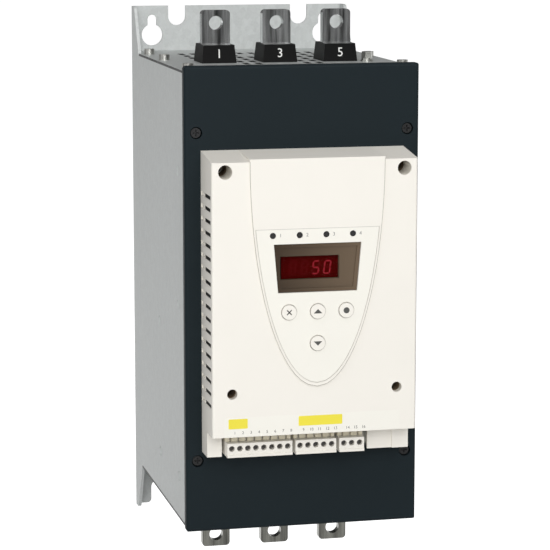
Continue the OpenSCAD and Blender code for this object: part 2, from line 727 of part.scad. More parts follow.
module board_bracket_left() color("Silver") mirror([1, 0, 0]) board_bracket();

module board_bracket_right() color("Silver") board_bracket();

// Fan frame that stands on the bottom plate, with a motor seat on three struts
module fan_frame(s) color("DimGray") translate([s * fan_x, -fan_d, -cap_z]) difference() {
  union() {
    linear_extrude(fan_h) difference() {
      round_rect(fan_w, fan_w, 4);
      circle(d = fan_w - 3);
    }
    linear_extrude(3) {
      circle(d = 24);
      for (a = [30, 150, 270]) rotate(a) translate([0, -2]) square([fan_w / 2 - 0.8, 4]);
    }
  }
  translate([0, 0, -1]) cylinder(d = 3 + 2 * pivot_gap, h = 6);
  for (u = [-1, 1], v = [-1, 1])
    translate([u * (fan_w / 2 - 5), v * (fan_w / 2 - 5), -1]) cylinder(d = 4 + 2 * shank_gap, h = 9);
}

// Fan rotor with tilted blades and a shaft in the motor seat
module fan_rotor(s) color("Gray") translate([s * fan_x, -fan_d, -cap_z]) {
  translate([0, 0, 0.5]) cylinder(d = 3, h = 6);
  translate([0, 0, 3.4]) cylinder(d = 23, h = fan_h - 5);
  intersection() {
    translate([0, 0, 4]) cylinder(d = fan_w - 5, h = fan_h - 6);
    for (k = [0 : fan_blades - 1])
      rotate([0, 0, k * 360 / fan_blades]) rotate([50, 0, 0])
        translate([8, fan_h / 2 * 0.75 - 9, fan_h / 2 * 0.65 - 0.8]) cube([fan_w / 2, 18, 1.6]);
  }
}

// Plate on which the panel is built, with seats for the control board
module panel_base() color("Ivory") difference() {
  union() {
    wall_slab(case_d, case_d + base_t) {
      half = panel_w / 2 - panel_wall - seat_gap;
      translate([-half, bay_top + panel_wall + seat_gap])
        square([2 * half, panel_top - panel_wall - 1.4 - bay_top - panel_wall - seat_gap]);
      translate([bay_x0 + seat_gap, plug_low])
        square([bay_x1 - bay_x0 - 2 * seat_gap, bay_h + panel_wall + 2]);
    }
    for (x = [14 - well_low_x, well_low_x - 14], z = [panel_low + 50, panel_top - 33])
      peg(x, z, case_d + base_t, card_d, 7);
  }
  for (w = wells) peg(w[0], w[1], case_d - 1, case_d + base_t + 1, 4 + 2 * shank_gap);
  box(-cable_x - 2, cable_x + 2, case_d - 1, case_d + base_t + 1, -cable_z - 6, cable_z + 6);
}

// Side outline of the panel in y and z, with its top dropping towards the front and its legs set back
module panel_side(drop, face) polygon([
  [-case_d, panel_low], [-leg_d, panel_low], [-leg_d, bay_top],
  [-face, bay_top], [-face, panel_top - drop], [-case_d, panel_top]
]);

// Display window in x and z, grown by a margin
module window_outline(grow) polygon([
  [shield_x - window_low_half - grow, window_low_z - grow],
  [shield_x + window_low_half + grow, window_low_z - grow],
  [shield_x + window_top_half + grow, window_top_z + grow],
  [shield_x - window_top_half - grow, window_top_z + grow]
]);

// Places of the keys, left, middle and right of the row and the lower key
key_places = [
  [shield_x - key_pitch, key_row_z], [shield_x, key_row_z],
  [shield_x + key_pitch, key_row_z], [shield_x, key_row_z - key_drop]
];

// Place of status light k in x
function light_x(k) = shield_x + light_shift + (k - 1.5) * light_pitch;

module panel_cover() color("Ivory") difference() {
  union() {
    difference() {
      union() {
        intersection() {
          side_slab(-panel_w / 2, panel_w / 2) panel_side(top_drop, front_d);
          floor_slab(panel_low, panel_top)
            translate([0, -(case_d + front_d) / 2 + 4]) round_rect(panel_w, panel_d + 8, 1.5);
        }
        intersection() {
          side_slab(-panel_w / 2, panel_w / 2) panel_side(shield_drop, shield_d);
          wall_slab(inner_face, shield_d) polygon(shield_outline(panel_top, shield_half_w, shield_tip_z));
        }
        intersection() {
          side_slab(shield_x - shield_half_w, shield_x + shield_half_w) panel_side(shield_drop, shield_d);
          box(-panel_w, panel_w, case_d, inner_face + 1, panel_top - top_drop - 2, panel_top);
        }
      }
      side_slab(-panel_w / 2 + panel_wall, panel_w / 2 - panel_wall) polygon([
        [1 - case_d, bay_top + panel_wall], [-inner_face, bay_top + panel_wall],
        [-inner_face, panel_top - top_drop - panel_wall], [1 - case_d, panel_top - panel_wall]
      ]);
      box(bay_x0, bay_x1, case_d - 1, shield_d + 1, panel_low - 1, bay_top);
      box(bay_x0, bay_x1, case_d - 1, inner_face, panel_low - 1, bay_top + panel_wall + 1);
    }
    box(jack_x - 0.4, bay_x1 + 1, jack_wall_d - 2, jack_wall_d, panel_low, bay_top + panel_wall + 1);
    box(jack_x - 0.4, bay_x1 + 1, jack_wall_d - 2, inner_face + 0.5, bay_top, bay_top + panel_wall);
    for (w = wells) peg(w[0], w[1], case_d + base_t, inner_face + 0.5, w[2] + 2.4);
  }
  for (w = wells) {
    peg(w[0], w[1], well_seat, front_d + 1, w[2]);
    peg(w[0], w[1], case_d, well_seat + 1, 4 + 2 * shank_gap);
  }
  for (s = [-1, 1], k = [0 : vent_last]) {
    z = vent_top_z - k * vent_pitch;
    x = s * panel_w / 2;
    inward = abs(z - well_low_z) < vent_pitch / 2 ? 0.8 : panel_wall + 1;
    end = case_d + vent_lead + vent_l;
    box(x - inward, x + inward, case_d + vent_lead, end, z - vent_h / 2, z + vent_h / 2);
    box(x - 0.8, x + 0.8, case_d + 1, case_d + vent_lead - 0.6, z - vent_h / 2, z + vent_h / 2);
  }
  for (p = key_places) peg(p[0], p[1], inner_face - 1, shield_d + 1, key_d + 2 * slide_gap);
  for (k = [0 : 3]) peg(light_x(k), light_z, inner_face - 1, shield_d + 1, light_d + 2 * seat_gap);
  wall_slab(inner_face - 1, shield_d + 1) window_outline(0);
  wall_slab(shield_d - overlay_t, shield_d + 1)
    polygon(shield_outline(overlay_top_z, shield_half_w - overlay_inset + seat_gap,
      overlay_tip_z - seat_gap));
}

module panel_screws() color("DimGray") for (w = wells) front_screw(w[0], well_seat, w[1], 5.8, 2.6, 4, 6);

module keypad_overlay() color("WhiteSmoke") difference() {
  wall_slab(shield_d - overlay_t, shield_d)
    polygon(shield_outline(overlay_top_z - seat_gap, shield_half_w - overlay_inset, overlay_tip_z));
  for (p = key_places) peg(p[0], p[1], inner_face, shield_d + 1, key_d + 2 * slide_gap);
  for (k = [0 : 3]) peg(light_x(k), light_z, inner_face, shield_d + 1, light_d + 2 * seat_gap);
  wall_slab(inner_face, shield_d + 1) window_outline(0);
}

// Board behind the panel, narrow between the wells and wide at the terminals
module control_board() color("DarkGreen") wall_slab(card_d, card_front) {
  half = well_low_x - well_low_d / 2 - 2;
  translate([-half, header_low]) square([2 * half, panel_top - 17 - header_low]);
  translate([bay_x0 + 1, header_low]) square([bay_x1 - bay_x0 - 2, 16]);
}

module display_module() color("DarkRed") {
  x0 = shield_x + display_x - display_w / 2;
  z0 = display_z - display_h / 2;
  box(x0, x0 + display_w, inner_face - 7, inner_face - 2, z0, z0 + display_h);
  box(x0 + 2, x0 + display_w - 2, card_front, inner_face - 6, display_z - 4, display_z + 4);
}

// Lens with a flange behind the panel wall and a raised rim in front
module display_lens() color("SaddleBrown") {
  wall_slab(inner_face - 1, window_face) window_outline(-seat_gap);
  wall_slab(inner_face - 1.2, inner_face) window_outline(1);
  wall_slab(window_face - 0.5, window_face + 0.9) difference() {
    window_outline(-seat_gap);
    window_outline(-lens_rim);
  }
}

// Key with a collar behind the panel wall and a stem over its switch
module key(n) color("Ivory") {
  x = key_places[n][0];
  z = key_places[n][1];
  peg(x, z, inner_face - 2, key_face, key_d);
  peg(x, z, inner_face - 2.6, inner_face - 0.2, key_d + 2.4);
  peg(x, z, card_front + 5.2 + key_travel, inner_face - 2, 4);
}

module tact_switches() color("DimGray") for (p = key_places) {
  box(p[0] - 3, p[0] + 3, card_front, card_front + 3.6, p[1] - 3, p[1] + 3);
  peg(p[0], p[1], card_front + 3, card_front + 5, 3.4);
}

// Light guides between the control board and the overlay
module status_lights() color("DimGray") for (k = [0 : 3]) {
  peg(light_x(k), light_z, card_front, shield_d, light_d);
  peg(light_x(k), light_z, card_front, card_front + 4, light_d + 1.2);
}

// Header block for plug k, open towards the plug, with one pin for each terminal
module header(k) {
  x0 = plug_x(k);
  x1 = x0 + plug_w(plug_ways[k]);
  difference() {
    box(x0, x1, card_front, header_d, header_low, tongue_top + 3);
    box(x0 + 0.6, x1 - 0.6, tongue_d0 - slide_gap, tongue_d1 + slide_gap, header_low - 1, tongue_top + 0.6);
    for (i = [0 : plug_ways[k] - 1])
      box(terminal_x(k, i) - 0.6, terminal_x(k, i) + 0.6, tongue_d1, header_d + 1,
        header_low - 1, header_low + 3);
  }
  for (i = [0 : plug_ways[k] - 1])
    translate([terminal_x(k, i) - 0.5, -(tongue_d0 + tongue_d1) / 2 - 0.5, plug_top + 2.6])
      cube([1, 1, tongue_top - plug_top - 1]);
}

module headers() color("Tan") for (k = [0 : 2]) header(k);

// Terminal plug k, with its screw wells to the front and its wire entries below
module plug(k) color("Ivory") difference() {
  x0 = plug_x(k);
  x1 = x0 + plug_w(plug_ways[k]);
  union() {
    box(x0, x1, card_front + 2, plug_d - 0.6, plug_low, plug_top);
    box(x0, x1, card_front + 2, plug_d, plug_low, plug_low + 1.6);
    box(x0 + 0.6 + slide_gap, x1 - 0.6 - slide_gap, tongue_d0, tongue_d1, plug_low + 1, tongue_top);
  }
  for (i = [0 : plug_ways[k] - 1]) {
    peg(terminal_x(k, i), terminal_z, plug_d - 7, plug_d + 1, terminal_screw_d + 2 * seat_gap);
    box(terminal_x(k, i) - 1.6, terminal_x(k, i) + 1.6, tongue_d0 + 1, tongue_d0 + 5,
      plug_low - 1, plug_low + 6);
    translate([terminal_x(k, i) - 0.8, -(tongue_d0 + tongue_d1) / 2 - 0.8, plug_top + 1.8])
      cube([1.6, 1.6, 12]);
  }
}

// Slotted screws of plug k
module plug_screws(k) color("Gray") for (i = [0 : plug_ways[k] - 1]) difference() {
  peg(terminal_x(k, i), terminal_z, plug_d - 7, plug_d - 3, terminal_screw_d);
  box(terminal_x(k, i) - 2, terminal_x(k, i) + 2, plug_d - 4, plug_d, terminal_z - 0.35, terminal_z + 0.35);
}

// Shielded jack whose mouth faces down behind the bay's front wall
module network_jack() color("Gainsboro") difference() {
  box(jack_x, jack_x + jack_w, card_front, jack_wall_d - 2.2, plug_low, plug_low + 17);
  box(jack_x + 1.7, jack_x + jack_w - 1.7, card_front + 1.2, jack_wall_d - 3.4, plug_low - 1, plug_low + 13);
}

// Ribbon between the two boards with a socket at each end
module ribbon_cable() color("LightGray") {
  d0 = board_d + board_t;
  span = card_d - d0;
  box(-cable_x + 1, cable_x - 1, d0, d0 + 9, cable_z - 4, cable_z + 4);
  box(-cable_x + 1, cable_x - 1, card_d - 8, card_d, -cable_z - 4, -cable_z + 4);
  steps = [for (i = [0 : 12]) [d0 + 8.5 + (span - 16) * i / 12, cable_z * cos(180 * i / 12)]];
  side_slab(-cable_x + 3, cable_x - 3) polygon(concat(
    [for (p = steps) [-p[0], p[1] + 0.6]], [for (i = [12 : -1 : 0]) [-steps[i][0], steps[i][1] - 0.6]]
  ));
}

chassis();
top_plate();
bottom_plate();
front_cover();
plate_screws();
cover_screws();
earth_screw();
side_rivets();
heatsink();
heatsink_bracket_left();
heatsink_bracket_right();
thyristor(0);  // thyristor_1
thyristor(1);  // thyristor_2
thyristor(2);  // thyristor_3
stage_screws();
line_bar(0);  // line_bar_1
line_bar(1);  // line_bar_2
line_bar(2);  // line_bar_3
load_bar(0);  // load_bar_1
load_bar(1);  // load_bar_2
load_bar(2);  // load_bar_3
line_bushings();
load_bushings();
bar_screws();
transformer(0);  // transformer_1
transformer(1);  // transformer_2
transformer(2);  // transformer_3
bypass_relay(0);  // bypass_relay_1
bypass_relay(1);  // bypass_relay_2
bypass_relay(2);  // bypass_relay_3
power_board();
board_bracket_left();
board_bracket_right();
fan_frame(-1);  // fan_frame_left
fan_frame(1);  // fan_frame_right
fan_rotor(-1);  // fan_rotor_left
fan_rotor(1);  // fan_rotor_right
panel_base();
panel_cover();
panel_screws();
control_board();
display_module();
display_lens();
keypad_overlay();
key(0);  // key_escape
key(1);  // key_up
key(2);  // key_enter
key(3);  // key_down
status_lights();
tact_switches();
headers();
plug(0);  // plug_eight
plug(1);  // plug_five
plug(2);  // plug_three
plug_screws(0);  // plug_eight_screws
plug_screws(1);  // plug_five_screws
plug_screws(2);  // plug_three_screws
network_jack();
ribbon_cable();
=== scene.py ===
"""Dresses a wall-mounted motor soft starter: finishes, printed marks, a lit display, and a plain studio."""

from __future__ import annotations

import json
import logging
import math
from dataclasses import dataclass, field
from enum import Enum
from typing import Any, Iterable, Mapping, Sequence, Union

import bmesh
import bpy
from mathutils import Matrix, Vector

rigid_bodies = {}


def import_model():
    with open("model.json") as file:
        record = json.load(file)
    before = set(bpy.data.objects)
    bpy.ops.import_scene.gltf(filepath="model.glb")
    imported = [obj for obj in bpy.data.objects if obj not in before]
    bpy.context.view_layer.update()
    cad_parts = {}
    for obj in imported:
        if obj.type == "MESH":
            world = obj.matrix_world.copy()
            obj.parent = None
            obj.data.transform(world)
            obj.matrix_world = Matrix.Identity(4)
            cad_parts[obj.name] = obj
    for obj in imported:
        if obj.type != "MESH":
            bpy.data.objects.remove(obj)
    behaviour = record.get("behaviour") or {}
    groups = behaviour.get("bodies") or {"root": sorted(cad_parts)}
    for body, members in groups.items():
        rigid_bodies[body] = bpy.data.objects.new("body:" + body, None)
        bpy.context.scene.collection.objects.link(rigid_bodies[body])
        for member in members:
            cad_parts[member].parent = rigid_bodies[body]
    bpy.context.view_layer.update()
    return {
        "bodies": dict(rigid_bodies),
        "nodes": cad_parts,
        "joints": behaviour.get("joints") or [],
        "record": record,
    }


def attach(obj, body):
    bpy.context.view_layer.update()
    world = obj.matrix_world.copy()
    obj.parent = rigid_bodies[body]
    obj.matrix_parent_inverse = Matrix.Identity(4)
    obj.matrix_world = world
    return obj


LOG = logging.getLogger("soft_starter")
Colour = tuple[float, float, float]
Triple = tuple[float, float, float]
Point = tuple[float, float]
Rim = list[bmesh.types.BMVert]
MM = 0.001
PRINT_LIFT = 0.00003
EDGE_ANGLE = math.radians(40)


class Signal:
    """A shader socket that takes part in arithmetic."""

    def __init__(self, tree: "ShaderTree", socket: bpy.types.NodeSocket) -> None:
        """Wraps a socket of a tree."""
        self.tree = tree
        self.socket = socket

    def _math(self, operation: str, first: "Value", second: "Value") -> "Signal":
        """Adds one Math node over two values."""
        return self.tree.node("ShaderNodeMath", {"operation": operation}, {0: first, 1: second})

    def __add__(self, other: "Value") -> "Signal":
        """Sum of two values."""
        return self._math("ADD", self, other)

    def __radd__(self, other: "Value") -> "Signal":
        """Sum with a plain number on the left."""
        return self._math("ADD", other, self)

    def __sub__(self, other: "Value") -> "Signal":
        """Difference of two values."""
        return self._math("SUBTRACT", self, other)

    def __rsub__(self, other: "Value") -> "Signal":
        """Difference with a plain number on the left."""
        return self._math("SUBTRACT", other, self)

    def __mul__(self, other: "Value") -> "Signal":
        """Product of two values."""
        return self._math("MULTIPLY", self, other)

    def __rmul__(self, other: "Value") -> "Signal":
        """Product with a plain number on the left."""
        return self._math("MULTIPLY", other, self)

    def __abs__(self) -> "Signal":
        """Value without its sign."""
        return self._math("ABSOLUTE", self, 0.0)

    def __lt__(self, other: "Value") -> "Signal":
        """One where the value is under another, and zero elsewhere."""
        return self._math("LESS_THAN", self, other)


Value = Union[Signal, float, int]


class ShaderTree:
    """Node tree of one material, with its surface shader."""

    def __init__(self, name: str) -> None:
        """Makes a material with a bare surface shader.

        Args:
            name: Name of the material.
        """
        self.material = bpy.data.materials.new(name)
        self.material.use_nodes = True
        self.nodes = self.material.node_tree.nodes
        self.links = self.material.node_tree.links
        self.surface = self.nodes["Principled BSDF"]

    def node(
        self, kind: str, settings: Mapping[str, Any], sockets: Mapping[Any, Any], output: Union[int, str] = 0
    ) -> Signal:
        """Adds a node.

        Args:
            kind: Blender's name of the node type.
            settings: Attributes of the node, set before its sockets.
            sockets: Values or signals of its inputs, by name or number.
            output: The output to return.

        Returns:
            The chosen output.
        """
        made = self.nodes.new(kind)
        for key, value in settings.items():
            setattr(made, key, value)
        for key, value in sockets.items():
            self.feed(made.inputs[key], value)
        return Signal(self, made.outputs[output])

    def feed(self, socket: bpy.types.NodeSocket, value: Any) -> None:
        """Links or sets one input.

        Args:
            socket: The input.
            value: A signal to link, or a constant.
        """
        if isinstance(value, Signal):
            self.links.new(value.socket, socket)
        elif isinstance(value, tuple) and len(value) == 3 and socket.type == "RGBA":
            socket.default_value = (*value, 1.0)
        else:
            socket.default_value = value

    def shade(self, **values: Any) -> None:
        """Sets inputs of the surface shader, with spaces in their names written as underscores."""
        for key, value in values.items():
            self.feed(self.surface.inputs[key.replace("_", " ")], value)

    def place(self) -> Signal:
        """Place on the object, in metres."""
        return self.node("ShaderNodeTexCoord", {}, {}, "Object")

    def axes(self, place: Signal) -> tuple[Signal, ...]:
        """The three coordinates of a place."""
        split = self.node("ShaderNodeSeparateXYZ", {}, {"Vector": place})
        return tuple(Signal(self, socket) for socket in split.socket.node.outputs)

    def stretch(self, place: Signal, scale: Triple) -> Signal:
        """Place with each axis scaled."""
        return self.node("ShaderNodeMapping", {}, {"Vector": place, "Scale": scale})

    def grain(self, place: Signal, scale: float, detail: float = 4.0, rough: float = 0.55) -> Signal:
        """Noise from 0 to 1 about a half."""
        sockets = {"Vector": place, "Scale": scale, "Detail": detail, "Roughness": rough}
        return self.node("ShaderNodeTexNoise", {}, sockets, "Fac")

    def crystals(self, place: Signal, scale: float) -> Signal:
        """One random value for each crystal of a spangled surface."""
        colour = self.node("ShaderNodeTexVoronoi", {}, {"Vector": place, "Scale": scale}, "Color")
        return self.node("ShaderNodeSeparateColor", {}, {"Color": colour}, "Red")

    def blend(self, share: Value, first: Any, second: Any) -> Signal:
        """Mixes two colours."""
        return self.node("ShaderNodeMix", {"data_type": "RGBA"}, {0: share, 6: first, 7: second}, 2)

    def relief(self, height: Signal, depth: float) -> Signal:
        """Normal of a surface with a small relief, whose depth is in metres."""
        return self.node("ShaderNodeBump", {}, {"Height": height, "Distance": depth, "Strength": 1.0})


@dataclass(frozen=True)
class Finish:
    """A surface finish with slight changes of tone, gloss and relief."""

    name: str
    colour: Colour
    roughness: float
    metallic: float = 0.0
    tone: float = 0.06
    gloss: float = 0.08
    grain_per_m: float = 1500.0
    relief_mm: float = 0.01
    specular: float = 0.5
    coat: float = 0.0
    cloud_per_m: float = 26.0

    def material(self) -> bpy.types.Material:
        """Builds the material.

        Returns:
            The finished material.
        """
        tree = ShaderTree(self.name)
        self.dress(tree)
        return tree.material

    def shades(self) -> tuple[Colour, Colour]:
        """Works out the ends of the tone.

        Returns:
            The darker and the lighter colour.
        """
        low = tuple(value * (1 - self.tone) for value in self.colour)
        high = tuple(min(1.0, value * (1 + self.tone)) for value in self.colour)
        return low, high

    def dress(self, tree: ShaderTree) -> None:
        """Gives a tree this finish.

        Args:
            tree: The tree of a new material.
        """
        place = tree.place()
        cloud = tree.grain(place, self.cloud_per_m, detail=3.0)
        fine = tree.grain(place, self.grain_per_m, detail=2.0)
        low, high = self.shades()
        tree.shade(
            Base_Color=tree.blend(cloud, low, high),
            Roughness=self.roughness + (cloud - 0.5) * self.gloss + (fine - 0.5) * self.gloss,
            Metallic=self.metallic,
            Specular_IOR_Level=self.specular,
            Coat_Weight=self.coat,
            Normal=tree.relief(fine, self.relief_mm * MM),
        )


@dataclass(frozen=True)
class GalvanisedSheet(Finish):
    """Zinc-coated sheet with faint crystals and rolling streaks along its height, and painted shade on its
    upright cut walls when cut_shade is under one.
    """

    cloud_per_m: float = 9.0
    crystal_per_m: float = 330.0
    crystal_stretch: Triple = (1.0, 1.0, 0.75)
    small_crystals: float = 2.7
    streak_per_m: float = 420.0
    streak_stretch: Triple = (1.0, 1.0, 0.06)
    cut_shade: float = 1.0

    def dress(self, tree: ShaderTree) -> None:
        """Gives a tree this finish.

        Args:
            tree: The tree of a new material.
        """
        place = tree.place()
        flake = tree.crystals(tree.stretch(place, self.crystal_stretch), self.crystal_per_m)
        small = tree.crystals(place, self.crystal_per_m * self.small_crystals)
        streak = tree.grain(tree.stretch(place, self.streak_stretch), self.streak_per_m, detail=3.0)
        cloud = tree.grain(place, self.cloud_per_m, detail=3.0)
        low, high = self.shades()
        share = flake * 0.35 + small * 0.2 + streak * 0.25 + cloud * 0.2
        metal = tree.blend(share, low, high)
        # Painted shade: faces that stand upright, such as the walls of punched cuts, are darkened to
        # cut_shade times the colour.
        if self.cut_shade < 1:
            facing = tree.node("ShaderNodeNewGeometry", {}, {}, "Normal")
            upright = abs(tree.axes(facing)[2]) < 0.5
            metal = tree.blend(upright, metal, tuple(value * self.cut_shade for value in self.colour))
        tree.shade(
            Base_Color=metal,
            Roughness=self.roughness + (flake - 0.5) * self.gloss + (streak - 0.5) * self.gloss,
            Metallic=self.metallic,
            Specular_IOR_Level=self.specular,
            Normal=tree.relief(flake * 0.4 + streak * 0.6, self.relief_mm * MM),
        )


@dataclass(frozen=True)
class PowderCoat(Finish):
    """Baked paint with a fine orange-peel skin."""

    cloud_per_m: float = 14.0

    def dress(self, tree: ShaderTree) -> None:
        """Gives a tree this finish.

        Args:
            tree: The tree of a new material.
        """
        place = tree.place()
        peel = tree.grain(place, self.grain_per_m, detail=3.0, rough=0.6)
        cloud = tree.grain(place, self.cloud_per_m, detail=2.0)
        low, high = self.shades()
        tree.shade(
            Base_Color=tree.blend(cloud * 0.6 + peel * 0.4, low, high),
            Roughness=self.roughness + (peel - 0.5) * self.gloss,
            Specular_IOR_Level=self.specular,
            Normal=tree.relief(peel, self.relief_mm * MM),
        )


@dataclass(frozen=True)
class TinPlate(Finish):
    """Bright metal with a drawn grain, and wider dark and light bands along its height that are partly
    streaks in the metal and partly painted reflections.
    """

    cloud_per_m: float = 60.0
    drawn_stretch: Triple = (1.0, 1.0, 0.03)
    band_per_m: float = 300.0
    band_stretch: Triple = (1.0, 1.0, 0.06)
    band_contrast: float = 4.0
    banding: float = 0.5

    def dress(self, tree: ShaderTree) -> None:
        """Gives a tree this finish.

        Args:
            tree: The tree of a new material.
        """
        place = tree.place()
        drawn = tree.grain(tree.stretch(place, self.drawn_stretch), self.grain_per_m, detail=3.0)
        streaks_and_reflections = tree.grain(tree.stretch(place, self.band_stretch), self.band_per_m, detail=2.0)
        cloud = tree.grain(place, self.cloud_per_m, detail=3.0)
        low, high = self.shades()
        # The wide bands carry painted reflections as well as streaks in the metal.
        share = 0.5 + (streaks_and_reflections - 0.5) * self.banding * self.band_contrast + (drawn - 0.5)
        tree.shade(
            Base_Color=tree.blend(share, low, high),
            Roughness=self.roughness + (cloud - 0.5) * self.gloss + (drawn - 0.5) * self.gloss,
            Metallic=self.metallic,
            Normal=tree.relief(drawn, self.relief_mm * MM),
        )


@dataclass(frozen=True)
class SmokedWindow(Finish):
    """Tinted plastic, backed with ink but for a clear field over the display, with painted light that makes
    it lighter from its left to its right.
    """

    cloud_per_m: float = 40.0
    bright: Colour = (0.14, 0.10, 0.065)
    span: Point = (-0.026, 0.028)
    clear_middle: Point = (-0.0034, 0.0251)
    clear_half: Point = (0.0186, 0.0072)
    see_through: float = 0.99

    def dress(self, tree: ShaderTree) -> None:
        """Gives a tree this finish.

        Args:
            tree: The tree of a new material.
        """
        place = tree.place()
        x, _, z = tree.axes(place)
        cloud = tree.grain(place, self.cloud_per_m, detail=2.0)
        across = (x - self.span[0]) * (1 / (self.span[1] - self.span[0]))
        beside = abs(x - self.clear_middle[0]) < self.clear_half[0]
        level = abs(z - self.clear_middle[1]) < self.clear_half[1]
        tree.shade(
            # Painted light: the tint blends from its own colour on the left to bright on the right.
            Base_Color=tree.blend(across + (cloud - 0.5) * self.tone, self.colour, self.bright),
            Roughness=self.roughness + (cloud - 0.5) * self.gloss,
            Specular_IOR_Level=self.specular,
            Alpha=1 - beside * level * self.see_through,
        )


@dataclass(frozen=True)
class Glow(Finish):
    """Dark plastic that gives out light of its own colour."""

    cloud_per_m: float = 900.0
    power: float = 1.0

    def dress(self, tree: ShaderTree) -> None:
        """Gives a tree this finish.

        Args:
            tree: The tree of a new material.
        """
        cloud = tree.grain(tree.place(), self.cloud_per_m, detail=2.0)
        low, high = self.shades()
        light = tree.blend(cloud, low, high)
        tree.shade(Base_Color=light, Roughness=self.roughness, Specular_IOR_Level=self.specular)
        tree.shade(Emission_Color=light, Emission_Strength=self.power)


class Skin(Enum):
    """Finishes of the soft starter's pieces."""

    SHEET = GalvanisedSheet(
        "galvanised_sheet", (0.56, 0.58, 0.573), 0.52, 0.1, 0.14, 0.12, relief_mm=0.02, specular=0.25
    )
    # The punched top plate carries painted shade on the walls of its cuts.
    PUNCHED_SHEET = GalvanisedSheet(
        "punched_sheet", (0.56, 0.58, 0.57), 0.52, 0.55, 0.14, 0.12, relief_mm=0.02, cut_shade=0.05
    )
    # Painted shade: a dark copy of the sheet for the bottom plate, which stands for the shadow along the
    # body's lower edge.
    SHADED_SHEET = GalvanisedSheet("bottom_sheet_painted_shade", (0.075, 0.08, 0.08), 0.6, 0.4, 0.16, 0.12, relief_mm=0.02)
    PAINT = PowderCoat(
        "slate_powder_coat", (0.0105, 0.017, 0.0205), 0.5,
        tone=0.12, grain_per_m=2600.0, relief_mm=0.02, specular=0.1,
    )
    ZINC = Finish("zinc_plated_steel", (0.50, 0.50, 0.47), 0.33, 1.0, 0.10, 0.14, 900.0, 0.01)
    BLACKENED = Finish("blackened_steel", (0.020, 0.020, 0.021), 0.38, 0.4, 0.2, 0.15, 900.0, 0.01)
    TIN = TinPlate("tin_plated_copper", (0.50, 0.51, 0.51), 0.14, 1.0, 0.75, 0.08, 1800.0, 0.004, banding=0.7)
    # Painted shade: a darker copy of the tin plate, for the load bars that sit in shade under the body.
    DULL_TIN = TinPlate("tin_plate_painted_shade", (0.20, 0.20, 0.18), 0.2, 1.0, 0.6, 0.08, 1800.0, 0.004)
    ALLOY = TinPlate("extruded_alloy", (0.62, 0.63, 0.64), 0.42, 1.0, 0.08, 0.12, 1500.0, 0.01, banding=0.2)
    BLACK = Finish(
        "black_moulding", (0.006, 0.006, 0.006), 0.45,
        tone=0.15, grain_per_m=1800.0, relief_mm=0.015, specular=0.07,
    )
    WELL_SHADE = Finish("well_shade", (0.22, 0.165, 0.11), 0.6, tone=0.2, specular=0.1)
    # Painted shade: the terminal screws are darkened to stand for the shade of the deep wells they sit in.
    SCREW_WELL = Finish("terminal_screw_painted_shade", (0.10, 0.095, 0.09), 0.4, 0.8, 0.15, 0.12, 900.0, 0.01)
    GREY = Finish("grey_moulding", (0.17, 0.17, 0.175), 0.5, tone=0.1)
    BLUE = Finish("blue_moulding", (0.05, 0.12, 0.25), 0.45, tone=0.1)
    CREAM = Finish(
        "cream_moulding", (0.85, 0.82, 0.755), 0.48,
        tone=0.02, gloss=0.06, grain_per_m=2400.0, relief_mm=0.012,
    )
    FILM = Finish(
        "keypad_film", (0.86, 0.84, 0.77), 0.40,
        tone=0.015, gloss=0.05, grain_per_m=3000.0, relief_mm=0.006,
    )
    TAN = Finish("tan_moulding", (0.98, 0.89, 0.70), 0.5, tone=0.06)
    BOARD = Finish("solder_mask", (0.02, 0.15, 0.06), 0.35, tone=0.2, grain_per_m=700.0)
    RIBBON = Finish("ribbon_grey", (0.42, 0.42, 0.42), 0.5)
    SMOKED = SmokedWindow("smoked_window", (0.045, 0.029, 0.017), 0.16, tone=0.2, gloss=0.04, specular=0.2)
    DISPLAY = Finish("display_filter", (0.058, 0.0, 0.0), 0.4, tone=0.1, specular=0.02)
    LAMP = Finish("dark_light_guide", (0.012, 0.011, 0.011), 0.22, tone=0.2, coat=0.1)
    WHITE_INK = Finish("white_ink", (0.80, 0.80, 0.78), 0.55, relief_mm=0.004)
    GREY_INK = Finish("grey_ink", (0.20, 0.20, 0.20), 0.6, relief_mm=0.004)
    DARK_INK = Finish("dark_ink", (0.075, 0.075, 0.07), 0.6, relief_mm=0.004)
    SEAM = Finish("seam_shade", (0.40, 0.38, 0.34), 0.7, tone=0.1, relief_mm=0.004)
    FAINT_SEAM = Finish("faint_seam_shade", (0.56, 0.54, 0.49), 0.7, tone=0.1, relief_mm=0.004)
    YELLOW_INK = Finish("yellow_ink", (0.83, 0.72, 0.05), 0.5, tone=0.04, relief_mm=0.004)
    DIM_SEGMENT = Finish("dim_segment", (0.08, 0.002, 0.003), 0.4, specular=0.02)
    LIT_SEGMENT = Glow("lit_segment", (0.17, 0.009, 0.014), 0.4, tone=0.1, specular=0.02, power=0.45)


class Palette:
    """Materials that have been made, one for each finish."""

    _made: dict[Skin, bpy.types.Material] = {}

    @classmethod
    def of(cls, skin: Skin) -> bpy.types.Material:
        """Makes the material of a finish, once.

        Args:
            skin: The finish.

        Returns:
            Its material.
        """
        if skin not in cls._made:
            cls._made[skin] = skin.value.material()
        return cls._made[skin]


def dress_node(frame: Mapping[str, Any], name: str, skin: Skin, edge_mm: float = 0.0, steps: int = 2) -> None:
    """Gives a solid its finish and breaks its sharp edges.

    Args:
        frame: The loaded frame.
        name: Name of the solid.
        skin: Its finish.
        edge_mm: Width of the broken edges, or 0 for none.
        steps: Segments of a broken edge.
    """
    piece = frame["nodes"][name]
    piece.data.materials.clear()
    piece.data.materials.append(Palette.of(skin))
    if edge_mm > 0:
        bevel = piece.modifiers.new("broken_edges", "BEVEL")
        bevel.width = edge_mm * MM
        bevel.segments = steps
        bevel.limit_method = "ANGLE"
        bevel.angle_limit = EDGE_ANGLE
        bevel.use_clamp_overlap = True
        bevel.harden_normals = False
    LOG.info("dressed %s in %s", name, skin.value.name)


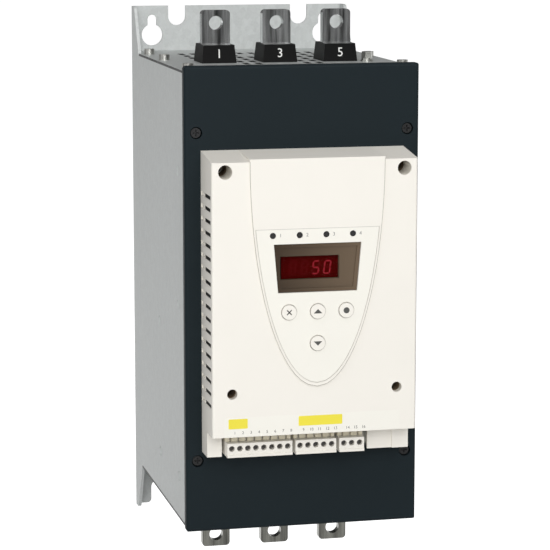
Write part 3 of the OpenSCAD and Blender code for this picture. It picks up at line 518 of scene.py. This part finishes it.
def close_prism(work: bmesh.types.BMesh, front: Rim, rear: Rim) -> None:
    """Adds the faces of a prism between two rims.

    Args:
        work: The mesh.
        front: Corners of one end.
        rear: Corners of the other end, in the same order.
    """
    work.faces.new(front)
    work.faces.new(rear[::-1])
    for index in range(len(front)):
        after = (index + 1) % len(front)
        work.faces.new((front[after], front[index], rear[index], rear[after]))


def plate(
    name: str, outline: Sequence[Point], face: float, thick: float, skin: Skin, body: str = "starter"
) -> bpy.types.Object:
    """Makes a thin flat piece that faces the front.

    Args:
        name: Name of the piece.
        outline: Its corners in x and z, in metres, anticlockwise as seen from the front.
        face: Place in y of the surface that carries it.
        thick: Its thickness.
        skin: Its finish.
        body: The body that it rides on.

    Returns:
        The new piece.
    """
    work = bmesh.new()
    front = [work.verts.new((x, face - thick, z)) for x, z in outline]
    rear = [work.verts.new((x, face, z)) for x, z in outline]
    close_prism(work, front, rear)
    bmesh.ops.recalc_face_normals(work, faces=work.faces)
    return finish_mesh(name, work, skin, body)


def ribbon(
    name: str, edges: Sequence[Sequence[Point]], face: float, thick: float, skin: Skin, closed: bool
) -> bpy.types.Object:
    """Makes a thin flat band that faces the front.

    Args:
        name: Name of the piece.
        edges: Its two edges in x and z, in metres, with as many points each.
        face: Place in y of the surface that carries it.
        thick: Its thickness.
        skin: Its finish.
        closed: Whether its end joins its start.

    Returns:
        The new piece.
    """
    work = bmesh.new()
    rows = []
    for (x, z), (far_x, far_z) in zip(*edges):
        corners = ((x, face, z), (x, face - thick, z), (far_x, face - thick, far_z), (far_x, face, far_z))
        rows.append([work.verts.new(corner) for corner in corners])
    if closed:
        rows.append(rows[0])
    for here, after in zip(rows, rows[1:]):
        for side in range(4):
            work.faces.new((here[side], here[side - 1], after[side - 1], after[side]))
    if not closed:
        work.faces.new(rows[0])
        work.faces.new(rows[-1][::-1])
    bmesh.ops.recalc_face_normals(work, faces=work.faces)
    return finish_mesh(name, work, skin, "starter")


def finish_mesh(name: str, work: bmesh.types.BMesh, skin: Skin, body: str) -> bpy.types.Object:
    """Turns a bmesh into a piece with a finish that rides on a body.

    Args:
        name: Name of the piece.
        work: The mesh, which is freed.
        skin: Its finish.
        body: The body that it rides on.

    Returns:
        The new piece.
    """
    mesh = bpy.data.meshes.new(name)
    work.to_mesh(mesh)
    work.free()
    mesh.materials.append(Palette.of(skin))
    piece = bpy.data.objects.new(name, mesh)
    bpy.context.scene.collection.objects.link(piece)
    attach(piece, body)
    LOG.info("made %s", name)
    return piece


def round_outline(low: Point, high: Point, radius: float, steps: int = 5) -> list[Point]:
    """Outline of a rectangle with round corners.

    Args:
        low: Its lower left corner.
        high: Its upper right corner.
        radius: Radius of its corners.
        steps: Segments of a corner.

    Returns:
        The outline, anticlockwise.
    """
    points: list[Point] = []
    corners = ((high[0], high[1], 0), (low[0], high[1], 1), (low[0], low[1], 2), (high[0], low[1], 3))
    for x, z, quarter in corners:
        centre_x = x - radius if x == high[0] else x + radius
        centre_z = z - radius if z == high[1] else z + radius
        for step in range(steps + 1):
            angle = math.pi / 2 * (quarter + step / steps)
            points.append((centre_x + radius * math.cos(angle), centre_z + radius * math.sin(angle)))
    return points


@dataclass
class Lettering:
    """Plain numbers printed on a surface."""

    height: float
    skin: Skin
    thick: float = PRINT_LIFT
    size_per_height: float = 1.42
    curve_steps: int = 3

    def put(
        self, name: str, text: str, place: Vector, turn: Matrix, body: str = "starter"
    ) -> bpy.types.Object:
        """Prints a text.

        Args:
            name: Name of the piece.
            text: The characters.
            place: Where their middle lies.
            turn: How they are turned, from facing up.
            body: The body that they ride on.

        Returns:
            The new piece.
        """
        curve = bpy.data.curves.new(name, "FONT")
        curve.body = text
        curve.size = self.height * self.size_per_height
        curve.align_x = "CENTER"
        curve.align_y = "CENTER"
        curve.extrude = self.thick
        curve.resolution_u = self.curve_steps
        scratch = bpy.data.objects.new(name + "_curve", curve)
        bpy.context.scene.collection.objects.link(scratch)
        bpy.context.view_layer.update()
        shape = scratch.evaluated_get(bpy.context.evaluated_depsgraph_get())
        mesh = bpy.data.meshes.new_from_object(shape)
        bpy.data.objects.remove(scratch)
        mesh.materials.clear()
        mesh.materials.append(Palette.of(self.skin))
        mesh.transform(Matrix.Translation(place) @ turn.to_4x4())
        mesh.name = name
        piece = bpy.data.objects.new(name, mesh)
        bpy.context.scene.collection.objects.link(piece)
        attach(piece, body)
        LOG.info("printed %s", name)
        return piece


def facing_front(lean: float = 0.0) -> Matrix:
    """Turn of a mark that faces the front, leaning back by an angle in radians."""
    return Matrix.Rotation(math.pi / 2 - lean, 3, "X")


class Assembly:
    """A group of solids, and the pieces that are added to them."""

    def dress(self, frame: Mapping[str, Any]) -> None:
        """Gives the group's solids their finishes."""
        raise NotImplementedError

    def build(self) -> None:
        """Adds the group's own pieces, which some groups don't have."""


@dataclass
class Enclosure(Assembly):
    """Chassis, plates, front cover and their fasteners."""

    sheet_edge_mm: float = 0.25
    sheet_edge_steps: int = 1
    cover_edge_mm: float = 0.6
    screw_edge_mm: float = 0.3

    def dress(self, frame: Mapping[str, Any]) -> None:
        """Gives the enclosure's solids their finishes.

        Args:
            frame: The loaded frame.
        """
        dress_node(frame, "chassis", Skin.SHEET, self.sheet_edge_mm, self.sheet_edge_steps)
        dress_node(frame, "top_plate", Skin.PUNCHED_SHEET, self.sheet_edge_mm, self.sheet_edge_steps)
        # The bottom plate is dark as painted shade along the body's lower edge.
        dress_node(frame, "bottom_plate", Skin.SHADED_SHEET, self.sheet_edge_mm, self.sheet_edge_steps)
        dress_node(frame, "front_cover", Skin.PAINT, self.cover_edge_mm)
        for name in ("plate_screws", "earth_screw"):
            dress_node(frame, name, Skin.ZINC, self.screw_edge_mm)
        dress_node(frame, "side_rivets", Skin.SHEET, self.screw_edge_mm)
        dress_node(frame, "cover_screws", Skin.BLACKENED, self.screw_edge_mm)


@dataclass
class PowerBars(Assembly):
    """Six flat bars and their bushings, with the line bushings' numbers."""

    bar_edge_mm: float = 0.9
    bar_edge_steps: int = 3
    bushing_edge_mm: float = 0.6
    phase_pitch: float = 0.040
    bushing_front: float = -0.132
    bushing_draft: float = 0.0012
    bushing_foot: float = 0.144
    bushing_h: float = 0.0115
    number_h: float = 0.0058
    numbers: tuple[str, ...] = ("1", "3", "5")

    def dress(self, frame: Mapping[str, Any]) -> None:
        """Gives the bars and bushings their finishes.

        Args:
            frame: The loaded frame.
        """
        for index in (1, 2, 3):
            dress_node(frame, f"line_bar_{index}", Skin.TIN, self.bar_edge_mm, self.bar_edge_steps)
            # The load bars take the darker copy of the tin plate as painted shade.
            dress_node(frame, f"load_bar_{index}", Skin.DULL_TIN, self.bar_edge_mm, self.bar_edge_steps)
        for name in ("line_bushings", "load_bushings"):
            dress_node(frame, name, Skin.BLACK, self.bushing_edge_mm)

    def build(self) -> None:
        """Prints a number on each line bushing."""
        lean = math.atan2(self.bushing_draft, self.bushing_h)
        print_white = Lettering(self.number_h, Skin.WHITE_INK)
        face = self.bushing_front + self.bushing_draft / 2 - PRINT_LIFT
        for index, number in enumerate(self.numbers):
            place = Vector(((index - 1) * self.phase_pitch, face, self.bushing_foot + self.bushing_h / 2))
            print_white.put(f"line_number_{number}", number, place, facing_front(lean))


@dataclass
class PowerStage(Assembly):
    """Pieces inside the chassis, seen only through the vents."""

    skins: tuple[tuple[str, Skin], ...] = (
        ("heatsink", Skin.ALLOY),
        ("heatsink_bracket_left", Skin.SHEET),
        ("heatsink_bracket_right", Skin.SHEET),
        ("stage_screws", Skin.ZINC),
        ("bar_screws", Skin.ZINC),
        ("power_board", Skin.BOARD),
        ("board_bracket_left", Skin.SHEET),
        ("board_bracket_right", Skin.SHEET),
        ("fan_frame_left", Skin.BLACK),
        ("fan_frame_right", Skin.BLACK),
        ("fan_rotor_left", Skin.GREY),
        ("fan_rotor_right", Skin.GREY),
        ("ribbon_cable", Skin.RIBBON),
    )

    def dress(self, frame: Mapping[str, Any]) -> None:
        """Gives the inner solids their finishes.

        Args:
            frame: The loaded frame.
        """
        for name, skin in self.skins:
            dress_node(frame, name, skin)
        for index in (1, 2, 3):
            dress_node(frame, f"thyristor_{index}", Skin.GREY)
            dress_node(frame, f"transformer_{index}", Skin.BLUE)
            dress_node(frame, f"bypass_relay_{index}", Skin.BLACK)


@dataclass(frozen=True)
class WellPair:
    """Two screw wells, mirrored about the panel's middle, and the depth at which their shade starts."""

    x: float
    z: float
    radius: float
    shade_depth: float


@dataclass
class ControlPanel(Assembly):
    """Cream panel with its overlay, keys, lights and printed fields."""

    cover_edge_mm: float = 0.35
    key_edge_mm: float = 0.6
    key_edge_steps: int = 3
    screw_edge_mm: float = 0.3
    light_edge_mm: float = 0.4
    axis_x: float = 0.0012
    face: float = -0.2275
    shield_face: float = -0.2285
    key_face: float = -0.2295
    key_pitch: float = 0.0181
    key_row_z: float = -0.0020
    key_drop: float = 0.0199
    light_z: float = 0.0456
    light_pitch: float = 0.0168
    light_shift: float = -0.003
    light_count: int = 4
    number_h: float = 0.0022
    number_shift: float = 0.0048
    arrow_half: float = 0.0027
    arrow_foot: float = 0.45
    arrow_head: float = 0.55
    cross_half: float = 0.0021
    cross_stroke: float = 0.00035
    dot: float = 0.0019
    circle_steps: int = 24
    ink: float = 0.00004
    strip: tuple[Point, Point] = ((-0.0574, -0.0788), (0.0544, -0.0668))
    fields: tuple[Point, ...] = ((-0.0548, -0.0427), (-0.0105, 0.0174))
    field_z: Point = (-0.0738, -0.0676)
    strip_round: float = 0.0008
    field_round: float = 0.0006
    half_w: float = 0.0648
    blind_inset: Point = (0.0005, 0.0007)
    vent_y: Point = (-0.2238, -0.2055)
    vent_top_z: float = 0.0691
    vent_pitch: float = 0.0076
    vent_h: float = 0.0025
    vent_count: int = 18
    shield_half: float = 0.0425
    shield_high: float = 0.0915
    shield_root: float = 0.092
    shield_tip: float = -0.0491
    shield_steps: int = 18
    shield_crowding: float = 1.6
    overlay_inset: float = 0.0015
    overlay_high: float = 0.0496
    overlay_tip: float = -0.0467
    key_hole: float = 0.00485
    seam: float = 0.0003
    wells: tuple[WellPair, ...] = (
        WellPair(0.0563, 0.0851, 0.0044, 0.0175),
        WellPair(0.0523, -0.0521, 0.00325, 0.005),
    )
    well_seat: float = -0.1985
    liner_gap: Point = (0.0001, 0.0003)

    def dress(self, frame: Mapping[str, Any]) -> None:
        """Gives the panel's solids their finishes.

        Args:
            frame: The loaded frame.
        """
        dress_node(frame, "panel_cover", Skin.CREAM, self.cover_edge_mm)
        dress_node(frame, "panel_base", Skin.CREAM)
        dress_node(frame, "keypad_overlay", Skin.FILM)
        for name in ("key_escape", "key_up", "key_enter", "key_down"):
            dress_node(frame, name, Skin.CREAM, self.key_edge_mm, self.key_edge_steps)
        # The panel screws take the black finish as painted shade at the bottom of their deep wells.
        dress_node(frame, "panel_screws", Skin.BLACKENED, self.screw_edge_mm)
        dress_node(frame, "status_lights", Skin.LAMP, self.light_edge_mm)
        dress_node(frame, "control_board", Skin.BOARD)
        dress_node(frame, "tact_switches", Skin.GREY)

    def build(self) -> None:
        """Prints the panel's marks, and adds its seams with painted shadow and the painted shade in its wells
        and vents.
        """
        plate("terminal_strip", round_outline(*self.strip, self.strip_round), self.face, self.ink, Skin.FILM)
        for index, (left, right) in enumerate(self.fields):
            outline = round_outline((left, self.field_z[0]), (right, self.field_z[1]), self.field_round)
            plate(f"yellow_field_{index + 1}", outline, self.face - self.ink, self.ink, Skin.YELLOW_INK)
        numbers = Lettering(self.number_h, Skin.GREY_INK)
        for index in range(self.light_count):
            step = index - (self.light_count - 1) / 2
            x = self.axis_x + self.light_shift + step * self.light_pitch + self.number_shift
            place = Vector((x, self.shield_face - PRINT_LIFT, self.light_z))
            numbers.put(f"light_number_{index + 1}", str(index + 1), place, facing_front())
        self._key_marks()
        self._seams()
        self._liners()
        for side, sign in (("left", -1), ("right", 1)):
            self._blinds(f"vent_painted_shade_{side}", sign)

    def _blinds(self, name: str, sign: int) -> None:
        """Sets a dark plate of painted shade in each vent of one side, just under the surface.

        Args:
            name: Name of the piece.
            sign: The side, -1 for left and 1 for right.
        """
        work = bmesh.new()
        outer, inner = (sign * (self.half_w - inset) for inset in self.blind_inset)
        for index in range(self.vent_count):
            middle = self.vent_top_z - index * self.vent_pitch
            low = middle - self.vent_h / 2
            high = middle + self.vent_h / 2
            near, far = self.vent_y
            corners = ((near, low), (far, low), (far, high), (near, high))
            front = [work.verts.new((outer, y, z)) for y, z in corners]
            rear = [work.verts.new((inner, y, z)) for y, z in corners]
            close_prism(work, front, rear)
        bmesh.ops.recalc_face_normals(work, faces=work.faces)
        finish_mesh(name, work, Skin.BLACK, "starter")

    def _seams(self) -> None:
        """Lays the fine seams round the shield, the overlay and the keys: dark joints with painted shadow at
        the foot of each step.
        """
        inset = self.shield_half - self.overlay_inset
        band = (-self.seam, 0.0)
        shield = [self._shield(self.shield_high, grow, self.shield_half, self.shield_tip) for grow in band]
        overlay = [self._shield(self.overlay_high, grow, inset, self.overlay_tip) for grow in band]
        ribbon("shield_seam_and_shadow", shield, self.shield_face, self.ink, Skin.SEAM, False)
        ribbon("overlay_seam_and_shadow", overlay, self.shield_face, self.ink, Skin.FAINT_SEAM, True)
        low = self.key_row_z - self.key_drop
        row = [(self.axis_x + step * self.key_pitch, self.key_row_z) for step in (-1, 0, 1)]
        rims = [self._ring(radius) for radius in (self.key_hole, self.key_hole + self.seam)]
        for index, (x, z) in enumerate(row + [(self.axis_x, low)]):
            moved = [[(x + px, z + pz) for px, pz in rim] for rim in rims]
            ribbon(f"key_seam_and_shadow_{index + 1}", moved, self.shield_face, self.ink, Skin.FAINT_SEAM, True)

    def _liners(self) -> None:
        """Puts a dark sleeve of painted shade in the deep part of each screw well."""
        work = bmesh.new()
        gaps = self.liner_gap + self.liner_gap[::-1]
        for well in self.wells:
            mouth = self.face + well.shade_depth
            ends = (mouth, mouth, self.well_seat, self.well_seat)
            for x in (-well.x, well.x):
                rings = []
                for gap, y in zip(gaps, ends):
                    rim = self._ring(well.radius - gap)
                    rings.append([work.verts.new((x + px, y, well.z + pz)) for px, pz in rim])
                for here, after in zip(rings, rings[1:] + rings[:1]):
                    for index in range(len(here)):
                        work.faces.new((here[index - 1], here[index], after[index], after[index - 1]))
        bmesh.ops.recalc_face_normals(work, faces=work.faces)
        finish_mesh("well_painted_shade", work, Skin.WELL_SHADE, "starter")

    def _shield(self, high: float, grow: float, half: float, tip: float) -> list[Point]:
        """Outline of the shield, down its left side to the tip and up its right side.

        Args:
            high: Height at which the outline starts and ends.
            grow: How far it lies outside the shield's edge.
            half: Half width of the shield at its root.
            tip: Height of its tip.

        Returns:
            The points of the outline.
        """
        points: list[Point] = []
        low = tip - grow
        for step in range(-self.shield_steps, self.shield_steps + 1):
            z = low + (high + grow - low) * abs(step / self.shield_steps) ** self.shield_crowding
            fall = max(0.0, (self.shield_root - z) / (self.shield_root - low))
            x = (half + grow) * math.sqrt(max(0.0, 1 - fall * fall))
            points.append((self.axis_x + math.copysign(x, step), z))
        return points

    def _key_marks(self) -> None:
        """Prints a mark on each key."""
        row = self.key_row_z
        low = row - self.key_drop
        half = self.arrow_half
        foot = half * self.arrow_foot
        head = half * self.arrow_head
        up = [(-half, -foot), (half, -foot), (0.0, head)]
        down = [(-half, foot), (0.0, -head), (half, foot)]
        self._mark("up_mark", up, self.axis_x, row, "up_key")
        self._mark("down_mark", down, self.axis_x, low, "down_key")
        for index, turn in enumerate((math.pi / 4, -math.pi / 4)):
            bar = self._bar(turn)
            self._mark(f"cross_bar_{index + 1}", bar, self.axis_x - self.key_pitch, row, "escape_key")
        self._mark("ring_mark", self._ring(self.dot), self.axis_x + self.key_pitch, row, "enter_key")

    def _bar(self, turn: float) -> list[Point]:
        """Outlines one bar of the cross.

        Args:
            turn: Angle of the bar about its middle.

        Returns:
            Its corners.
        """
        half = self.cross_half
        thin = self.cross_stroke
        flat = ((-half, -thin), (half, -thin), (half, thin), (-half, thin))
        cos, sin = math.cos(turn), math.sin(turn)
        return [(x * cos - z * sin, x * sin + z * cos) for x, z in flat]

    def _ring(self, radius: float) -> list[Point]:
        """Outline of a circle about its middle."""
        angles = [math.tau * step / self.circle_steps for step in range(self.circle_steps)]
        return [(radius * math.cos(angle), radius * math.sin(angle)) for angle in angles]

    def _mark(self, name: str, outline: Sequence[Point], x: float, z: float, body: str) -> None:
        """Prints one mark on a key."""
        plate(name, [(x + px, z + pz) for px, pz in outline], self.key_face, self.ink, Skin.DARK_INK, body)


@dataclass
class Readout(Assembly):
    """Display module, its digits and the smoked window over it."""

    middle_x: float = -0.00235
    middle_z: float = 0.02445
    face: float = -0.223
    digit_w: float = 0.0037
    digit_h: float = 0.0078
    digit_pitch: float = 0.00726
    stroke: float = 0.0010
    slant: float = 0.14
    segment_thick: float = 0.00005
    segment_trim: float = 0.62
    module_edge_mm: float = 0.3
    lens_edge_mm: float = 0.25
    shown: str = "  50"
    strokes: Mapping[str, str] = field(default_factory=lambda: {" ": "", "0": "abcdef", "5": "afgcd"})

    def dress(self, frame: Mapping[str, Any]) -> None:
        """Gives the display's solids their finishes.

        Args:
            frame: The loaded frame.
        """
        dress_node(frame, "display_module", Skin.DISPLAY, self.module_edge_mm)
        dress_node(frame, "display_lens", Skin.SMOKED, self.lens_edge_mm)

    def build(self) -> None:
        """Lays the segments of every digit, lit or dim."""
        first = self.middle_x - (len(self.shown) - 1) / 2 * self.digit_pitch
        for index, sign in enumerate(self.shown):
            left = first + index * self.digit_pitch
            for segment, outline in self._segments().items():
                lit = segment in self.strokes[sign]
                moved = [(left + x + z * self.slant, self.middle_z + z) for x, z in outline]
                skin = Skin.LIT_SEGMENT if lit else Skin.DIM_SEGMENT
                plate(f"digit_{index + 1}_{segment}", moved, self.face, self.segment_thick, skin)

    def _segments(self) -> dict[str, list[Point]]:
        """Outlines the seven segments of a digit about its middle.

        Returns:
            The outline of each segment by its letter.
        """
        half_w = self.digit_w / 2
        half_h = self.digit_h / 2
        across = half_w - self.stroke * self.segment_trim
        upright = half_h / 2 - self.stroke * self.segment_trim
        made = {}
        for name, z in (("a", half_h), ("g", 0.0), ("d", -half_h)):
            made[name] = self._bar(0.0, z, across, True)
        for name, x, z in (("f", -1, 1), ("b", 1, 1), ("e", -1, -1), ("c", 1, -1)):
            made[name] = self._bar(x * half_w, z * half_h / 2, upright, False)
        return made

    def _bar(self, x: float, z: float, half: float, flat: bool) -> list[Point]:
        """Outlines one pointed segment.

        Args:
            x: Its middle across the digit.
            z: Its middle up the digit.
            half: Half its length without its points.
            flat: Whether it lies across the digit.

        Returns:
            Its corners.
        """
        thin = self.stroke / 2
        right = [(half, -thin), (half + thin, 0.0), (half, thin)]
        points = right + [(-px, -pz) for px, pz in right]
        if flat:
            return [(x + px, z + pz) for px, pz in points]
        return [(x - pz, z + px) for px, pz in points]


@dataclass
class TerminalBay(Assembly):
    """Plugs, headers and the network jack, with numbers over the terminals."""

    ways: tuple[tuple[str, int], ...] = (("eight", 8), ("five", 5), ("three", 3))
    first_x: float = -0.0537
    pitch: float = 0.00508
    end: float = 0.0004
    gap: float = 0.002
    face: float = -0.2275
    number_z: float = -0.0764
    number_h: float = 0.0018
    plug_edge_mm: float = 0.25
    jack_edge_mm: float = 0.2

    def dress(self, frame: Mapping[str, Any]) -> None:
        """Gives the bay's solids their finishes.

        Args:
            frame: The loaded frame.
        """
        for name, _ in self.ways:
            dress_node(frame, f"plug_{name}", Skin.CREAM, self.plug_edge_mm)
            # The terminal screws are dark as painted shade of their deep wells.
            dress_node(frame, f"plug_{name}_screws", Skin.SCREW_WELL)
        dress_node(frame, "headers", Skin.TAN)
        dress_node(frame, "network_jack", Skin.ZINC, self.jack_edge_mm)

    def build(self) -> None:
        """Prints a number over each terminal."""
        numbers = Lettering(self.number_h, Skin.DARK_INK)
        left = self.first_x
        count = 0
        for _, ways in self.ways:
            for index in range(ways):
                count += 1
                x = left + self.end + (index + 0.5) * self.pitch
                place = Vector((x, self.face - PRINT_LIFT, self.number_z))
                numbers.put(f"terminal_number_{count}", str(count), place, facing_front())
            left += ways * self.pitch + 2 * self.end + self.gap


@dataclass(frozen=True)
class SoftBox:
    """A square soft light that points at the object."""

    name: str
    place: Triple
    size: float
    power: float


@dataclass
class Studio:
    """Pale floor, soft lights and the camera."""

    floor_z: float = -0.260
    floor_half: float = 14.0
    floor_shades: tuple[Colour, Colour] = ((0.81, 0.81, 0.81), (0.83, 0.83, 0.83))
    floor_roughness: float = 0.9
    cloud_per_m: float = 3.0
    glow_power: float = 0.9
    glow_y: Point = (0.02, 0.14)
    glow_slant: float = 0.238
    glow_x: Point = (-0.45, -0.178)
    glow_spread: float = 0.6
    eye: Vector = field(default_factory=lambda: Vector((-0.3440, -1.6121, 0.2532)))
    aim: Vector = field(default_factory=lambda: Vector((0.0004, -0.115, 0.0025)))
    lens: float = 154.25
    sensor: float = 36.0
    clip: Point = (0.05, 50.0)
    surroundings: float = 0.2
    boxes: tuple[SoftBox, ...] = (
        SoftBox("key", (0.1, -2.6, 1.2), 1.5, 26.5),
        SoftBox("fill", (-0.8, -2.8, 0.85), 1.0, 21.6),
        SoftBox("left", (-1.6, -0.7, 0.65), 1.2, 5.6),
        SoftBox("top", (0.1, -1.0, 2.2), 1.8, 15.0),
    )

    def build(self) -> None:
        """Makes the floor, the lights, the surroundings and the camera."""
        self._floor()
        self._world()
        for box in self.boxes:
            self._light(box)
        self._camera()

    def _floor(self) -> None:
        """Makes a wide pale floor that is lit from below behind the object."""
        work = bmesh.new()
        half = self.floor_half
        corners = ((-half, -half), (half, -half), (half, half), (-half, half))
        work.faces.new([work.verts.new((x, y, self.floor_z)) for x, y in corners])
        mesh = bpy.data.meshes.new("floor")
        work.to_mesh(mesh)
        work.free()
        tree = ShaderTree("pale_floor")
        place = tree.place()
        cloud = tree.grain(place, self.cloud_per_m, detail=2.0)
        x, y, _ = tree.axes(place)
        reach = {"Value": y + x * self.glow_slant, "From Min": self.glow_y[0], "From Max": self.glow_y[1]}
        across = x + y * self.glow_spread
        beside = {"Value": across, "From Min": self.glow_x[0], "From Max": self.glow_x[1]}
        soft = {"interpolation_type": "SMOOTHSTEP"}
        glow = tree.node("ShaderNodeMapRange", soft, reach) * tree.node("ShaderNodeMapRange", soft, beside)
        light = tree.blend(glow, (0.0, 0.0, 0.0), (1.0, 1.0, 1.0))
        tree.shade(Base_Color=tree.blend(cloud, *self.floor_shades), Roughness=self.floor_roughness)
        tree.shade(Emission_Color=light, Emission_Strength=self.glow_power)
        mesh.materials.append(tree.material)
        floor = bpy.data.objects.new("floor", mesh)
        bpy.context.scene.collection.objects.link(floor)

    def _world(self) -> None:
        """Makes pale even surroundings."""
        scene = bpy.context.scene
        scene.world = bpy.data.worlds.new("surroundings")
        scene.world.use_nodes = True
        background = scene.world.node_tree.nodes["Background"]
        background.inputs["Color"].default_value = (1.0, 1.0, 1.0, 1.0)
        background.inputs["Strength"].default_value = self.surroundings
        scene.view_settings.view_transform = "Standard"

    def _light(self, box: SoftBox) -> None:
        """Makes one soft light.

        Args:
            box: Its name, place, size and power.
        """
        lamp = bpy.data.lights.new(box.name, "AREA")
        lamp.size = box.size
        lamp.energy = box.power
        light = bpy.data.objects.new(box.name, lamp)
        light.location = box.place
        light.rotation_euler = (self.aim - light.location).to_track_quat("-Z", "Y").to_euler()
        bpy.context.scene.collection.objects.link(light)

    def _camera(self) -> None:
        """Makes the camera at the photograph's angle."""
        data = bpy.data.cameras.new("camera")
        data.sensor_width = self.sensor
        data.lens = self.lens
        data.clip_start, data.clip_end = self.clip
        camera = bpy.data.objects.new("camera", data)
        camera.location = self.eye
        camera.rotation_euler = (self.aim - self.eye).to_track_quat("-Z", "Y").to_euler()
        bpy.context.scene.collection.objects.link(camera)
        bpy.context.scene.camera = camera


def main() -> None:
    """Builds and dresses every sub-assembly in order."""
    logging.basicConfig(level=logging.INFO, format="%(name)s: %(message)s")
    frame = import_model()
    Studio().build()
    assemblies = (Enclosure(), PowerBars(), PowerStage(), ControlPanel(), Readout(), TerminalBay())
    for assembly in assemblies:
        assembly.dress(frame)
        assembly.build()
        LOG.info("finished %s", type(assembly).__name__)


if __name__ == "__main__":
    main()
